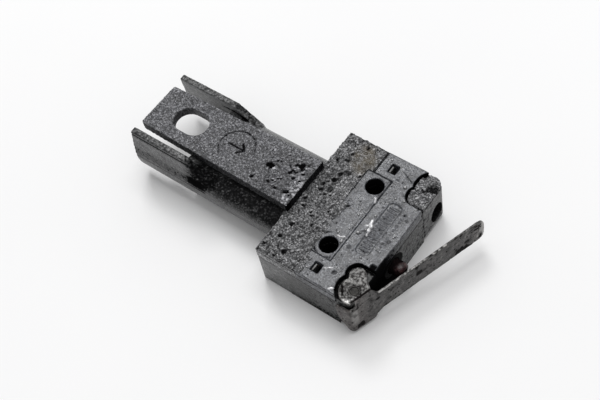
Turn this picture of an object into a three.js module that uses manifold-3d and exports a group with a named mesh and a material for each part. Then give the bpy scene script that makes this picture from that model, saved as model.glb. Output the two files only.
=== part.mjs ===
// Sub-miniature limit switch with a hinged lever, a rear housing that ends in a forked cable
// sleeve, and a slotted mounting plate on the sleeve. Millimetres, +Z up.
//
// Frame: the origin is midway between the two mounting holes, on the underside of the case.
// +X runs from the sleeve to the plunger and lever, +Y along the case away from the lever's hinge.

import * as THREE from "three";
import { mergeVertices } from "three/addons/utils/BufferGeometryUtils.js";
import Module from "manifold-3d";

const wasm = await Module();
wasm.setup();

// ---------------------------------------------------------------- driving dimensions

const HOLE_PITCH = 9.5;
const HOLE_R = 1.18;
const FIT_GAP = 0.05;
const PRESS_GAP = 0.03;

// Switch case
const CASE_HALF_LENGTH = 9.8;
const CASE_FRONT = 6.67;
const CASE_REAR = -2.7;
const CASE_CORNER_R = 1.4;
const FAR_CORNER_R = 0.4;
const CASE_HEIGHT = 7.1;
const COVER_THICKNESS = 1.5;
const GASKET_THICKNESS = 0.14;
const WALL = 0.9;
const HOLE_BOSS_R = 1.6;
const CAVITY_REAR = -2.1;
const CAVITY_STEP = 3.5;
const CAVITY_FRONT = 5.4;
const CAVITY_HALF_WIDE = 8.7;
const CAVITY_HALF_NARROW = 4.55;

// Plate that carries the mounting holes, and the seams around it
const HOLE_PLATE_REAR = -2.08;
const HOLE_PLATE_FRONT = 1.42;
const HOLE_PLATE_HALF = 6.4;
const COVER_SEAM = -1.28;

// Hinge corner: the lever's eyes sit in recesses in the top and the underside of the case
const PIVOT_X = 5.94;
const PIVOT_Y = -8.08;
const PIN_R = 0.5;
const PIN_CLEARANCE = 0.06;
const PIN_Z = [0.3, 6.75];
const EYE_R = 1.85;
const LOBE_X = -0.82;
const LOBE_Y = 1.88;
const LOBE_R = 1.05;
const RECESS_R = 2.25;
const RECESS_LOBE_R = 1.45;
const RECESS_FLOOR = 6.4;
const UNDER_RECESS = 0.7;
const FAR_PIVOT_R = 0.65;
const FAR_PIVOT_FLOOR = 3.0;

// Blind oval pocket in the front face, beside the unused hinge corner
const POCKET_Y = 7.8;
const POCKET_Z = 2.65;
const POCKET_HALF_WIDTH = 1.2;
const POCKET_HALF_HEIGHT = 1.65;
const POCKET_DEPTH = 2.2;

// Lever, in its own frame: the pivot is the origin and the strip runs along +Y
const LEVER_REST = THREE.MathUtils.degToRad(18.4);
const LEVER_INNER = 0.95;
const SHEET = 0.35;
const LEVER_TIP = 17.95;
const LEVER_TIP_R = 1.1;
const STRIP_Z = [1.5, 5.35];
const STRIP_START = [2.8, 2.4];
const YOKE_Z = [0.2, 6.95];
const LOWER_BEND_Y = [-0.6, 1.3];
const UPPER_BEND_Y = [-0.8, 1.5];
const EYE_CLEARANCE = 0.15;
const FOLD_R = 0.4;
const WRAP_GAP = 0.085;
const WRAP_TOP = 5.5;
const WRAP_STRAIGHT = 1.45;
const HEEL_TOP = 3.6;
const HEEL_ROUND = [0.5, 1.0];
const WRAP_FOOT = 0.4;
const TOE_ROUND = [0.5, 0.6];

// Plunger, along X
const PLUNGER_Y = -1.5;
const PLUNGER_Z = 3.45;
const PLUNGER_R = 1.05;
const PLUNGER_TIP = 8.4;
const PLUNGER_TAIL = 2.88;
const PLUNGER_BORE_R = 1.3;
const SEAL_BORE_R = 1.8;
const SHOULDER_X = 5.72;
const SEAL_END = 6.2;

// Snap mechanism
const BLADE_X = 2.45;
const BLADE_THICKNESS = 0.18;
const BLADE_ROOT = -6.2;
const BLADE_TIP = 7.8;
const BLADE_Z = [2.0, 4.9];
const CONTACT_Y = 6.9;
const CONTACT_R = 0.68;
const CONTACT_STEM_R = 0.3;
const CONTACT_HEAD = 0.36;
const BLADE_WINDOW_Y = [0.3, 5.9];
const BLADE_WINDOW_Z = [2.9, 4.0];
const SPRING_Y = [0.5, 5.7];
const SPRING_RISE = 0.85;
const TERMINAL_END = -6.0;

// Rear housing, cable sleeve and fork
const HOUSING_REAR = -7.08;
const HOUSING_FRONT = -2.75;
const SLEEVE_R = 6.0;
const SLEEVE_AXIS_Z = 4.3;
const SLEEVE_CROWN = 3.7;
const SLEEVE_SEAT_Z = 7.05;
const SLEEVE_BASE_Z = 0.25;
const SLEEVE_END = -22.5;
const FORK_END = -30.48;
const CHEEK_INNER = 4.5;
const CHEEK_TOP = 8.8;
const CHEEK_TOP_WIDTH = 0.85;
const CHEEK_SHOULDER_Z = 8.35;
const CHEEK_STEP_Z = 7.0;
const CHEEK_STEP_Y = 5.6;
const CHEEK_BASE = 0.9;
const CHEEK_SWELL_Y = 5.7;
const CHEEK_SWELL_Z = [5.4, 6.2];
const CHEEK_LEAN = 0.1;
const RAMP_START = -21.28;
const RAMP_END = -18.0;
const RAMP_FOOT_Z = 5.9;
const BORE_Z = 3.3;
const BORE_R = 2.15;
const GROMMET_INNER_R = 1.3;
const GROMMET_LIP_R = 2.7;
const GROMMET_LIP = 0.55;
const GROMMET_LENGTH = 6.0;

// Slotted mounting plate
const PLATE_FRONT = -6.78;
const PLATE_Z = [7.15, 8.54];
const PLATE_TAB_HALF = 3.35;
const PLATE_ROOT_HALF = 3.75;
const PLATE_CORNER_R = 0.35;
const SLOT_X = -24.78;
const SLOT_LENGTH = 5.0;
const SLOT_WIDTH = 3.6;
const PEG_R = 0.8;
const PEG_FOOT = 5.9;
const PEG_XS = [-19.0, -10.0];

// ---------------------------------------------------------------- derived heights

const COVER_Z = [CASE_HEIGHT - COVER_THICKNESS, CASE_HEIGHT];
const BASE_TOP = COVER_Z[0] - GASKET_THICKNESS - 2 * PRESS_GAP;
const GASKET_Z = [BASE_TOP + PRESS_GAP, COVER_Z[0] - PRESS_GAP];
const HOLE_YS = [-HOLE_PITCH / 2, HOLE_PITCH / 2];

// ---------------------------------------------------------------- solids

const AXIS_X = new THREE.Vector3(1, 0, 0);
const AXIS_Y = new THREE.Vector3(0, 1, 0);
const AXIS_Z = new THREE.Vector3(0, 0, 1);

function solid(geometry) {
  const bare = geometry.clone();
  bare.deleteAttribute("normal");
  bare.deleteAttribute("uv");
  const merged = mergeVertices(bare, 1e-4);
  const vertProperties = new Float32Array(merged.attributes.position.array);
  const triVerts = new Uint32Array(merged.index.array);
  return new wasm.Manifold(new wasm.Mesh({ numProp: 3, vertProperties, triVerts }));
}

function geometryOf(manifold) {
  const mesh = manifold.getMesh();
  const geometry = new THREE.BufferGeometry();
  geometry.setAttribute("position", new THREE.BufferAttribute(mesh.vertProperties, 3));
  geometry.setIndex(new THREE.BufferAttribute(mesh.triVerts, 1));
  geometry.computeVertexNormals();
  return geometry;
}

function join(...solids) {
  return solids.reduce((sum, next) => sum.add(next));
}

function cut(body, ...tools) {
  return tools.reduce((rest, tool) => rest.subtract(tool), body);
}

function block([x0, x1], [y0, y1], [z0, z1]) {
  const box = new THREE.BoxGeometry(x1 - x0, y1 - y0, z1 - z0);
  box.translate((x0 + x1) / 2, (y0 + y1) / 2, (z0 + z1) / 2);
  return solid(box);
}

// A plan outline in X and Y, raised from z0 to z1.
function raised(outline, [z0, z1], curveSegments = 8) {
  const options = { depth: z1 - z0, bevelEnabled: false, curveSegments };
  const geometry = new THREE.ExtrudeGeometry(outline, options);
  geometry.translate(0, 0, z0);
  return solid(geometry);
}

// A section in Y and Z, drawn along X.
function alongX(section, [x0, x1], curveSegments = 8) {
  const options = { depth: x1 - x0, bevelEnabled: false, curveSegments };
  const geometry = new THREE.ExtrudeGeometry(section, options);
  geometry.applyMatrix4(new THREE.Matrix4().makeBasis(AXIS_Y, AXIS_Z, AXIS_X));
  geometry.translate(x0, 0, 0);
  return solid(geometry);
}

// A section in X and Z, drawn along Y.
function alongY(section, [y0, y1]) {
  const options = { depth: y1 - y0, bevelEnabled: false };
  const geometry = new THREE.ExtrudeGeometry(section, options);
  const back = AXIS_Y.clone().negate();
  geometry.applyMatrix4(new THREE.Matrix4().makeBasis(AXIS_X, AXIS_Z, back));
  geometry.translate(0, y1, 0);
  return solid(geometry);
}

function rodZ(x, y, radius, [z0, z1], sides = 24) {
  const rod = new THREE.CylinderGeometry(radius, radius, z1 - z0, sides);
  rod.rotateX(Math.PI / 2);
  rod.translate(x, y, (z0 + z1) / 2);
  return solid(rod);
}

function rodX(y, z, radius, [x0, x1], sides = 24) {
  const rod = new THREE.CylinderGeometry(radius, radius, x1 - x0, sides);
  rod.rotateZ(-Math.PI / 2);
  rod.translate((x0 + x1) / 2, y, z);
  return solid(rod);
}

// A turned piece on an axis along X; each point of the profile is [radius, x].
function turnedX(profile, y, z, sides = 24) {
  const points = profile.map(([radius, x]) => new THREE.Vector2(radius, x));
  const lathe = new THREE.LatheGeometry(points, sides);
  lathe.rotateZ(-Math.PI / 2);
  lathe.translate(0, y, z);
  return solid(lathe);
}

function polygon(points) {
  return new THREE.Shape(points.map(([x, y]) => new THREE.Vector2(x, y)));
}

// The case's plan: round at the corner that the lever wraps, and nearly square at the others.
function casePlan(rear, inset = 0) {
  const half = CASE_HALF_LENGTH - inset;
  const front = CASE_FRONT - inset;
  const near = CASE_CORNER_R - inset;
  const far = FAR_CORNER_R - inset;
  const plan = new THREE.Shape();
  plan.moveTo(rear, -half);
  plan.lineTo(front - near, -half);
  plan.absarc(front - near, -half + near, near, -Math.PI / 2, 0, false);
  plan.lineTo(front, half - far);
  plan.absarc(front - far, half - far, far, 0, Math.PI / 2, false);
  plan.lineTo(rear, half);
  return plan;
}

// The space that the lever's eye needs, at the hinge end (side -1) or the far end (side +1).
function eyeRecess(side, heights, inset = 0) {
  const y = Math.abs(PIVOT_Y);
  const lobeX = PIVOT_X + LOBE_X;
  const lobeY = y - LOBE_Y;
  const front = CASE_FRONT + 1;
  const mouth = [lobeY - RECESS_LOBE_R + inset, CASE_HALF_LENGTH + 1];
  return join(
    rodZ(PIVOT_X, side * y, RECESS_R - inset, heights, 32),
    rodZ(lobeX, side * lobeY, RECESS_LOBE_R - inset, heights, 20),
    block([lobeX, front], mirrored(mouth, side), heights),
  );
}

function mirrored([low, high], side) {
  return side > 0 ? [low, high] : [-high, -low];
}

function bothHoles(radius, heights) {
  return join(...HOLE_YS.map((y) => rodZ(0, y, radius, heights)));
}

// ---------------------------------------------------------------- materials

function material(color, roughness, metalness = 0) {
  return new THREE.MeshStandardMaterial({ color, roughness, metalness });
}

const casePlastic = () => material(0x3a3a3e, 0.55);
const dirtyPlastic = () => material(0x34343a, 0.75);
const plungerPlastic = () => material(0x4a1a20, 0.4);
const blackRubber = () => material(0x1a1a1a, 0.85);
const epoxy = () => material(0x20202a, 0.35);
const leverSteel = () => material(0x6a6766, 0.5, 0.9);
const pinSteel = () => material(0x8a8a8a, 0.35, 1);
const springBrass = () => material(0xb08a4a, 0.35, 1);
const silver = () => material(0xd0d0d4, 0.25, 1);

const assembly = new THREE.Group();

function add(name, body, look, parent = assembly) {
  const mesh = new THREE.Mesh(geometryOf(body), look);
  mesh.name = name;
  parent.add(mesh);
}

// ---------------------------------------------------------------- switch case

const WINDOW_X = [0, 1.15];
const WINDOW_Y = [7.3, 8.62];
const LATCH_X = [0.1, 0.36];
const LATCH_Y = [7.45, 8.5];
const LATCH_TOP = CASE_HEIGHT - 0.25;
const TERMINAL_LOW_Z = [1.2, 2.1];
const TERMINAL_HIGH_Z = [2.4, 4.5];
const TERMINAL_OUTER_Y = [8.2, 8.5];
const TERMINAL_INNER_Y = [6.5, 7.0];

function grown([low, high], by) {
  return [low - by, high + by];
}

// Snap hook moulded on the base; it stands in a window of the cover.
function latchHook(side) {
  const foot = TERMINAL_HIGH_Z[0];
  const webTop = BASE_TOP - 0.1;
  const intoWall = CAVITY_HALF_WIDE + 0.2;
  return join(
    block(LATCH_X, mirrored(LATCH_Y, side), [foot, LATCH_TOP]),
    block(LATCH_X, mirrored([LATCH_Y[0], intoWall], side), [foot, webTop]),
  );
}

function mechanismSpace(heights) {
  const wide = [-CAVITY_HALF_WIDE, CAVITY_HALF_WIDE];
  const narrow = [-CAVITY_HALF_NARROW, CAVITY_HALF_NARROW];
  return join(
    block([CAVITY_REAR, CAVITY_STEP], wide, heights),
    block([CAVITY_REAR, CAVITY_FRONT], narrow, heights),
  );
}

function caseBase() {
  const whole = raised(casePlan(CASE_REAR), [0, BASE_TOP]);
  const corners = [-1, 1].map((side) => {
    const boss = eyeRecess(side, [BASE_TOP - 0.2, RECESS_FLOOR], FIT_GAP);
    return boss.intersect(raised(casePlan(CASE_REAR), [0, CASE_HEIGHT]));
  });
  const body = cut(
    join(whole, ...corners),
    cut(mechanismSpace([WALL, CASE_HEIGHT]), bothHoles(HOLE_BOSS_R, [0, CASE_HEIGHT])),
    bothHoles(HOLE_R, [-1, CASE_HEIGHT]),
    eyeRecess(-1, [-1, UNDER_RECESS]),
    eyeRecess(1, [-1, UNDER_RECESS]),
    rodZ(PIVOT_X, PIVOT_Y, PIN_R + FIT_GAP, [-1, CASE_HEIGHT]),
    rodZ(PIVOT_X, -PIVOT_Y, FAR_PIVOT_R, [FAR_PIVOT_FLOOR, CASE_HEIGHT]),
    sidePocket(),
    rodX(PLUNGER_Y, PLUNGER_Z, PLUNGER_BORE_R, [CAVITY_FRONT - 1, CASE_FRONT + 1]),
    rodX(PLUNGER_Y, PLUNGER_Z, SEAL_BORE_R, [SHOULDER_X, CASE_FRONT + 1]),
    ...terminalPaths([CASE_REAR - 1, CAVITY_REAR + 0.1]),
  );
  return join(body, latchHook(-1), latchHook(1));
}

function sidePocket() {
  const oval = new THREE.Shape();
  const fullTurn = 2 * Math.PI;
  oval.absellipse(POCKET_Y, POCKET_Z, POCKET_HALF_WIDTH, POCKET_HALF_HEIGHT, 0, fullTurn, false, 0);
  return alongX(oval, [CASE_FRONT - POCKET_DEPTH, CASE_FRONT + 1], 12);
}

function terminalPaths(span) {
  return [
    block(span, mirrored(grown(TERMINAL_OUTER_Y, FIT_GAP), -1), grown(TERMINAL_LOW_Z, FIT_GAP)),
    block(span, grown(TERMINAL_OUTER_Y, FIT_GAP), grown(TERMINAL_LOW_Z, FIT_GAP)),
    block(span, grown(TERMINAL_INNER_Y, FIT_GAP), grown(TERMINAL_HIGH_Z, FIT_GAP)),
  ];
}

function windows(heights) {
  return [-1, 1].map((side) => block(WINDOW_X, mirrored(WINDOW_Y, side), heights));
}

function holePlatePocket(clearance, heights) {
  const half = HOLE_PLATE_HALF + clearance;
  const span = [HOLE_PLATE_REAR - clearance, HOLE_PLATE_FRONT + clearance];
  return block(span, [-half, half], heights);
}

function caseCover() {
  const through = grown(COVER_Z, 1);
  return cut(
    raised(casePlan(COVER_SEAM), COVER_Z),
    holePlatePocket(FIT_GAP, through),
    eyeRecess(-1, through),
    eyeRecess(1, through),
    ...windows(through),
  );
}

function coverGasket() {
  const through = grown(GASKET_Z, 1);
  const inset = 0.3;
  const rim = raised(casePlan(CASE_REAR + inset, inset), GASKET_Z);
  return cut(
    rim,
    mechanismSpace(through),
    eyeRecess(-1, through),
    eyeRecess(1, through),
    ...windows(through),
  );
}

function holePlate() {
  return cut(holePlatePocket(0, COVER_Z), bothHoles(HOLE_R, grown(COVER_Z, 1)));
}

// ---------------------------------------------------------------- plunger and seal

function plunger() {
  const domeHeight = 0.7;
  const dome = new THREE.QuadraticBezierCurve(
    new THREE.Vector2(PLUNGER_R, PLUNGER_TIP - domeHeight),
    new THREE.Vector2(PLUNGER_R, PLUNGER_TIP),
    new THREE.Vector2(0, PLUNGER_TIP),
  );
  const tailR = 0.6;
  const flangeR = 1.6;
  const flange = [4.75, CAVITY_FRONT - 0.07];
  const profile = [
    [0, PLUNGER_TAIL],
    [tailR, PLUNGER_TAIL],
    [tailR, flange[0]],
    [flangeR, flange[0]],
    [flangeR, flange[1]],
    [PLUNGER_R, flange[1]],
    ...dome.getPoints(5).map((point) => [point.x, point.y]),
  ];
  return turnedX(profile, PLUNGER_Y, PLUNGER_Z);
}

const RETAINER_X = [SEAL_END + FIT_GAP, CASE_FRONT - FIT_GAP];

function plungerRing(innerR, [x0, x1]) {
  const outerR = SEAL_BORE_R - FIT_GAP;
  const profile = [[innerR, x0], [outerR, x0], [outerR, x1], [innerR, x1], [innerR, x0]];
  return turnedX(profile, PLUNGER_Y, PLUNGER_Z);
}

// ---------------------------------------------------------------- snap mechanism

function snapBlade() {
  const faces = [BLADE_X - BLADE_THICKNESS / 2, BLADE_X + BLADE_THICKNESS / 2];
  return cut(
    block(faces, [BLADE_ROOT, BLADE_TIP], BLADE_Z),
    block(grown(faces, 1), BLADE_WINDOW_Y, BLADE_WINDOW_Z),
    rodX(CONTACT_Y, PLUNGER_Z, CONTACT_STEM_R + 2 * PRESS_GAP, grown(faces, 1), 16),
  );
}

// Bowed leaf in the blade's window.
function toggleSpring() {
  const leaf = 0.15;
  const half = (SPRING_Y[1] - SPRING_Y[0]) / 2;
  const outerR = (half * half + SPRING_RISE * SPRING_RISE) / (2 * SPRING_RISE);
  const centreX = BLADE_X + SPRING_RISE - outerR;
  const centreY = (SPRING_Y[0] + SPRING_Y[1]) / 2;
  const reach = Math.asin(half / outerR);
  const bow = new THREE.Shape();
  bow.absarc(centreX, centreY, outerR, -reach, reach, false);
  bow.absarc(centreX, centreY, outerR - leaf, reach, -reach, true);
  return raised(bow, grown(BLADE_WINDOW_Z, -0.1), 12);
}

function movingContact() {
  const stemR = CONTACT_STEM_R;
  const head = CONTACT_HEAD;
  const clear = BLADE_THICKNESS / 2 + PRESS_GAP;
  const profile = [
    [0, BLADE_X - clear - head],
    [CONTACT_R, BLADE_X - clear - head],
    [CONTACT_R, BLADE_X - clear],
    [stemR, BLADE_X - clear],
    [stemR, BLADE_X + clear],
    [CONTACT_R, BLADE_X + clear],
    [CONTACT_R, BLADE_X + clear + head],
    [0, BLADE_X + clear + head],
  ];
  return turnedX(profile, CONTACT_Y, PLUNGER_Z, 20);
}

const CLOSED_PLATE_X = [3.17, 3.45];
const CLOSED_PLATE_Y = [6.2, TERMINAL_OUTER_Y[1]];
const CLOSED_CONTACT_X = [2.96, 3.15];
const OPEN_PLATE_X = [0.46, 0.74];
const OPEN_PLATE_Y = [TERMINAL_INNER_Y[0], 7.6];
const OPEN_CONTACT_X = [0.76, 1.22];
const COMMON_RISER_X = [2.2, 2.7];
const ANCHOR_DEPTH = 0.26;
const NOTCH_DEPTH = 0.1;
const NOTCH_HALF = 0.08;
const ANCHOR_Y = [BLADE_ROOT - FIT_GAP - ANCHOR_DEPTH, BLADE_ROOT - FIT_GAP];

function commonTerminal() {
  const outer = mirrored(TERMINAL_OUTER_Y, -1);
  return join(
    block([TERMINAL_END, COMMON_RISER_X[1]], outer, TERMINAL_LOW_Z),
    block(COMMON_RISER_X, [outer[0], ANCHOR_Y[0] - PRESS_GAP], [TERMINAL_LOW_Z[0], BLADE_Z[1]]),
  );
}

// Notched block on the common riser that the blade's root bears against.
function bladeAnchor() {
  const [rear, front] = ANCHOR_Y;
  const notch = polygon([
    [COMMON_RISER_X[0], rear],
    [COMMON_RISER_X[1], rear],
    [COMMON_RISER_X[1], front],
    [BLADE_X + NOTCH_HALF, front - NOTCH_DEPTH],
    [BLADE_X - NOTCH_HALF, front - NOTCH_DEPTH],
    [COMMON_RISER_X[0], front],
  ]);
  return raised(notch, BLADE_Z);
}

function closedTerminal() {
  return join(
    block([TERMINAL_END, CLOSED_PLATE_X[1]], TERMINAL_OUTER_Y, TERMINAL_LOW_Z),
    block(CLOSED_PLATE_X, CLOSED_PLATE_Y, [TERMINAL_LOW_Z[0], TERMINAL_HIGH_Z[1]]),
  );
}

function openTerminal() {
  return join(
    block([TERMINAL_END, OPEN_PLATE_X[1]], TERMINAL_INNER_Y, TERMINAL_HIGH_Z),
    block(OPEN_PLATE_X, OPEN_PLATE_Y, TERMINAL_HIGH_Z),
  );
}

// ---------------------------------------------------------------- lever

// The centre of the fold between the lever's face and the flap on the case's side.
function foldCentre() {
  const sine = Math.sin(LEVER_REST);
  const cosine = Math.cos(LEVER_REST);
  const x = LEVER_INNER - FOLD_R;
  const down = FOLD_R - (CASE_HALF_LENGTH + WRAP_GAP + PIVOT_Y);
  const across = (x + down * sine) / cosine;
  return new THREE.Vector2(x, across * sine + down * cosine);
}

// Side view of the bent sheet: a deep yoke at the hinge, then a narrow strip with a round tip.
function leverOutline() {
  const root = foldCentre().y;
  const top = YOKE_Z[1];
  const [low, high] = STRIP_Z;
  const foot = WRAP_FOOT;
  const toe = LOWER_BEND_Y[1];
  const [toeRun, toeRise] = TOE_ROUND;
  const r = LEVER_TIP_R;
  const outline = new THREE.Shape();
  outline.moveTo(root, foot);
  outline.lineTo(toe, foot);
  outline.quadraticCurveTo(toe + toeRun, foot, toe + toeRun, foot + toeRise);
  outline.lineTo(STRIP_START[0], low);
  outline.lineTo(LEVER_TIP - r, low);
  outline.absarc(LEVER_TIP - r, low + r, r, -Math.PI / 2, 0, false);
  outline.absarc(LEVER_TIP - r, high - r, r, 0, Math.PI / 2, false);
  outline.lineTo(STRIP_START[1], high);
  outline.lineTo(UPPER_BEND_Y[1], top);
  outline.lineTo(UPPER_BEND_Y[0], top);
  outline.lineTo(UPPER_BEND_Y[0], WRAP_TOP);
  outline.lineTo(root, WRAP_TOP);
  return outline;
}

// One of the two eyes that turn on the hinge pin, with its stop lobe, bent over from the yoke.
function leverEye(heights, [bendLow, bendHigh]) {
  const lobe = new THREE.Vector2(LOBE_X, LOBE_Y).rotateAround(new THREE.Vector2(), LEVER_REST);
  const bend = LEVER_INNER + 0.1;
  const neck = polygon([
    [0, bendLow],
    [bend, bendLow],
    [bend, bendHigh],
    [lobe.x, lobe.y + LOBE_R],
    [lobe.x, 0],
  ]);
  const reach = 2 * EYE_R;
  const eye = join(
    rodZ(0, 0, EYE_R, heights, 32),
    rodZ(lobe.x, lobe.y, LOBE_R, heights, 20),
    raised(neck, heights),
  );
  return eye.intersect(block([-reach, bend], [-reach, reach], heights));
}

// The end of the sheet, folded round the corner of the case, with its heel cut away in a curve.
function cornerWrap() {
  const centre = foldCentre();
  const outerR = FOLD_R + SHEET;
  const foot = WRAP_FOOT;
  const end = LEVER_REST - Math.PI / 2;
  const along = new THREE.Vector2(-WRAP_STRAIGHT, 0).rotateAround(new THREE.Vector2(), LEVER_REST);
  const tail = (r) => [centre.x + r * Math.cos(end) + along.x, centre.y + r * Math.sin(end) + along.y];
  const fold = new THREE.Shape();
  fold.absarc(centre.x, centre.y, outerR, 0, end, true);
  fold.lineTo(...tail(outerR));
  fold.lineTo(...tail(FOLD_R));
  fold.absarc(centre.x, centre.y, FOLD_R, end, 0, false);
  const [tailX, tailY] = tail(outerR);
  const [heelRun, heelRise] = HEEL_ROUND;
  const heel = new THREE.Shape();
  heel.moveTo(tailX - 1, foot - 1);
  heel.lineTo(tailX - 1, HEEL_TOP);
  heel.lineTo(tailX, HEEL_TOP);
  heel.quadraticCurveTo(tailX + heelRun, foot + heelRise, LEVER_INNER + SHEET, foot);
  heel.lineTo(LEVER_INNER + SHEET, foot - 1);
  return cut(raised(fold, [foot, WRAP_TOP], 10), alongY(heel, [tailY - 2, centre.y]));
}

function lever() {
  const faces = [LEVER_INNER, LEVER_INNER + SHEET];
  return cut(
    join(
      alongX(leverOutline(), faces),
      leverEye([RECESS_FLOOR + EYE_CLEARANCE, YOKE_Z[1]], UPPER_BEND_Y),
      leverEye([YOKE_Z[0], UNDER_RECESS - EYE_CLEARANCE], LOWER_BEND_Y),
      cornerWrap(),
    ),
    rodZ(0, 0, PIN_R + PIN_CLEARANCE, [-1, CASE_HEIGHT + 1]),
  );
}

// ---------------------------------------------------------------- rear housing

function sleeveSection() {
  const seatAngle = Math.asin((SLEEVE_SEAT_Z - SLEEVE_AXIS_Z) / SLEEVE_CROWN);
  const baseAngle = Math.asin((SLEEVE_AXIS_Z - SLEEVE_BASE_Z) / SLEEVE_R);
  const z = SLEEVE_AXIS_Z;
  const section = new THREE.Shape();
  section.absarc(0, z, SLEEVE_R, -baseAngle, 0, false);
  section.absellipse(0, z, SLEEVE_R, SLEEVE_CROWN, 0, seatAngle, false, 0);
  section.absellipse(0, z, SLEEVE_R, SLEEVE_CROWN, Math.PI - seatAngle, Math.PI, false, 0);
  section.absarc(0, z, SLEEVE_R, Math.PI, Math.PI + baseAngle, false);
  return section;
}

// One cheek of the fork; side is -1 or +1.
function cheek(side) {
  const footAngle = Math.asin((SLEEVE_AXIS_Z - CHEEK_BASE) / SLEEVE_R);
  const topY = CHEEK_INNER + CHEEK_TOP_WIDTH;
  const section = new THREE.Shape();
  section.moveTo(CHEEK_INNER, CHEEK_BASE);
  section.absarc(0, SLEEVE_AXIS_Z, SLEEVE_R, -footAngle, 0, false);
  const [swellLow, swellHigh] = CHEEK_SWELL_Z;
  section.bezierCurveTo(SLEEVE_R, swellLow, CHEEK_SWELL_Y, swellHigh, CHEEK_STEP_Y, CHEEK_STEP_Z);
  section.lineTo(CHEEK_STEP_Y - CHEEK_LEAN, CHEEK_SHOULDER_Z);
  section.lineTo(topY, CHEEK_TOP);
  section.lineTo(CHEEK_INNER, CHEEK_TOP);
  const wall = alongX(section, [FORK_END, RAMP_END]);
  const above = CHEEK_TOP + 1;
  const fall = (CHEEK_TOP - RAMP_FOOT_Z) / (RAMP_END - RAMP_START);
  const ramp = polygon([
    [RAMP_START, CHEEK_TOP],
    [RAMP_START, above],
    [RAMP_END + 1, above],
    [RAMP_END + 1, RAMP_FOOT_Z - fall],
  ]);
  const sloped = cut(wall, alongY(ramp, [0, SLEEVE_R + 1]));
  return side > 0 ? sloped : sloped.mirror([0, 1, 0]);
}

function rearHousing() {
  const half = CASE_HALF_LENGTH;
  const joint = [HOUSING_REAR - 1, HOUSING_REAR + WALL / 2];
  const body = join(
    block([HOUSING_REAR, HOUSING_FRONT], [-half, half], [0, BASE_TOP]),
    alongX(sleeveSection(), [SLEEVE_END, HOUSING_REAR - FIT_GAP]),
    alongX(sleeveSection(), joint).intersect(block(joint, [-half, half], [0, BASE_TOP])),
    cheek(-1),
    cheek(1),
  );
  const trayY = [-half + WALL, half - WALL];
  return cut(
    body,
    block([HOUSING_REAR + WALL, HOUSING_FRONT + 1], trayY, [WALL, CASE_HEIGHT]),
    rodX(0, BORE_Z, BORE_R, [SLEEVE_END - 1, HOUSING_REAR + WALL + 0.1]),
    ...PEG_XS.map((x) => rodZ(x, 0, PEG_R + FIT_GAP, [PEG_FOOT - 0.15, CASE_HEIGHT + 1], 16)),
  );
}

function rearCover() {
  const half = CASE_HALF_LENGTH;
  return cut(
    block([HOUSING_REAR, COVER_SEAM - FIT_GAP], [-half, half], COVER_Z),
    holePlatePocket(FIT_GAP, grown(COVER_Z, 1)),
  );
}

function potting() {
  const inset = WALL + FIT_GAP;
  const half = CASE_HALF_LENGTH - inset;
  const span = [HOUSING_REAR + inset, HOUSING_FRONT - FIT_GAP];
  const fill = block(span, [-half, half], [inset, BASE_TOP - 0.1]);
  return cut(fill, ...terminalPaths([TERMINAL_END - FIT_GAP, 0]));
}

function cableGrommet() {
  const innerR = GROMMET_INNER_R;
  const outerR = BORE_R - FIT_GAP;
  const lipRear = SLEEVE_END - FIT_GAP - GROMMET_LIP;
  const lipFront = SLEEVE_END - FIT_GAP;
  const front = SLEEVE_END + GROMMET_LENGTH;
  const profile = [
    [innerR, lipRear],
    [GROMMET_LIP_R, lipRear],
    [GROMMET_LIP_R, lipFront],
    [outerR, lipFront],
    [outerR, front],
    [innerR, front],
    [innerR, lipRear],
  ];
  return turnedX(profile, 0, BORE_Z);
}

// ---------------------------------------------------------------- mounting plate

function platePlan() {
  const r = PLATE_CORNER_R;
  const tab = PLATE_TAB_HALF;
  const plan = new THREE.Shape();
  plan.moveTo(PLATE_FRONT, -PLATE_ROOT_HALF);
  plan.lineTo(PLATE_FRONT, PLATE_ROOT_HALF);
  plan.lineTo(FORK_END + r, tab);
  plan.absarc(FORK_END + r, tab - r, r, Math.PI / 2, Math.PI, false);
  plan.absarc(FORK_END + r, -tab + r, r, Math.PI, 1.5 * Math.PI, false);
  return plan;
}

function slotPlan() {
  const r = SLOT_WIDTH / 2;
  const reach = SLOT_LENGTH / 2 - r;
  const plan = new THREE.Shape();
  plan.absarc(SLOT_X + reach, 0, r, -Math.PI / 2, Math.PI / 2, false);
  plan.absarc(SLOT_X - reach, 0, r, Math.PI / 2, 1.5 * Math.PI, false);
  return plan;
}

function mountingPlate() {
  const pegs = PEG_XS.map((x) => rodZ(x, 0, PEG_R, [PEG_FOOT, PLATE_Z[0] + 0.2], 16));
  return cut(join(raised(platePlan(), PLATE_Z), ...pegs), raised(slotPlan(), grown(PLATE_Z, 1), 12));
}

// ---------------------------------------------------------------- assembly

add("case_base", caseBase(), casePlastic());
add("case_cover", caseCover(), casePlastic());
add("cover_gasket", coverGasket(), blackRubber());
add("hole_plate", holePlate(), casePlastic());
add("rear_housing", rearHousing(), dirtyPlastic());
add("rear_cover", rearCover(), dirtyPlastic());
add("mounting_plate", mountingPlate(), dirtyPlastic());
add("potting_block", potting(), epoxy());
add("cable_grommet", cableGrommet(), blackRubber());
add("plunger", plunger(), plungerPlastic());
add("plunger_seal", plungerRing(PLUNGER_R + FIT_GAP, [SHOULDER_X + FIT_GAP, SEAL_END]), blackRubber());
add("seal_retainer", plungerRing(PLUNGER_R + 2 * FIT_GAP, RETAINER_X), casePlastic());
add("snap_blade", snapBlade(), springBrass());
add("toggle_spring", toggleSpring(), springBrass());
add("moving_contact", movingContact(), silver());
add("common_terminal", commonTerminal(), springBrass());
add("blade_anchor", bladeAnchor(), springBrass());
add("closed_terminal", closedTerminal(), springBrass());
add("closed_contact", rodX(CONTACT_Y, PLUNGER_Z, CONTACT_R, CLOSED_CONTACT_X, 20), silver());
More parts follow.
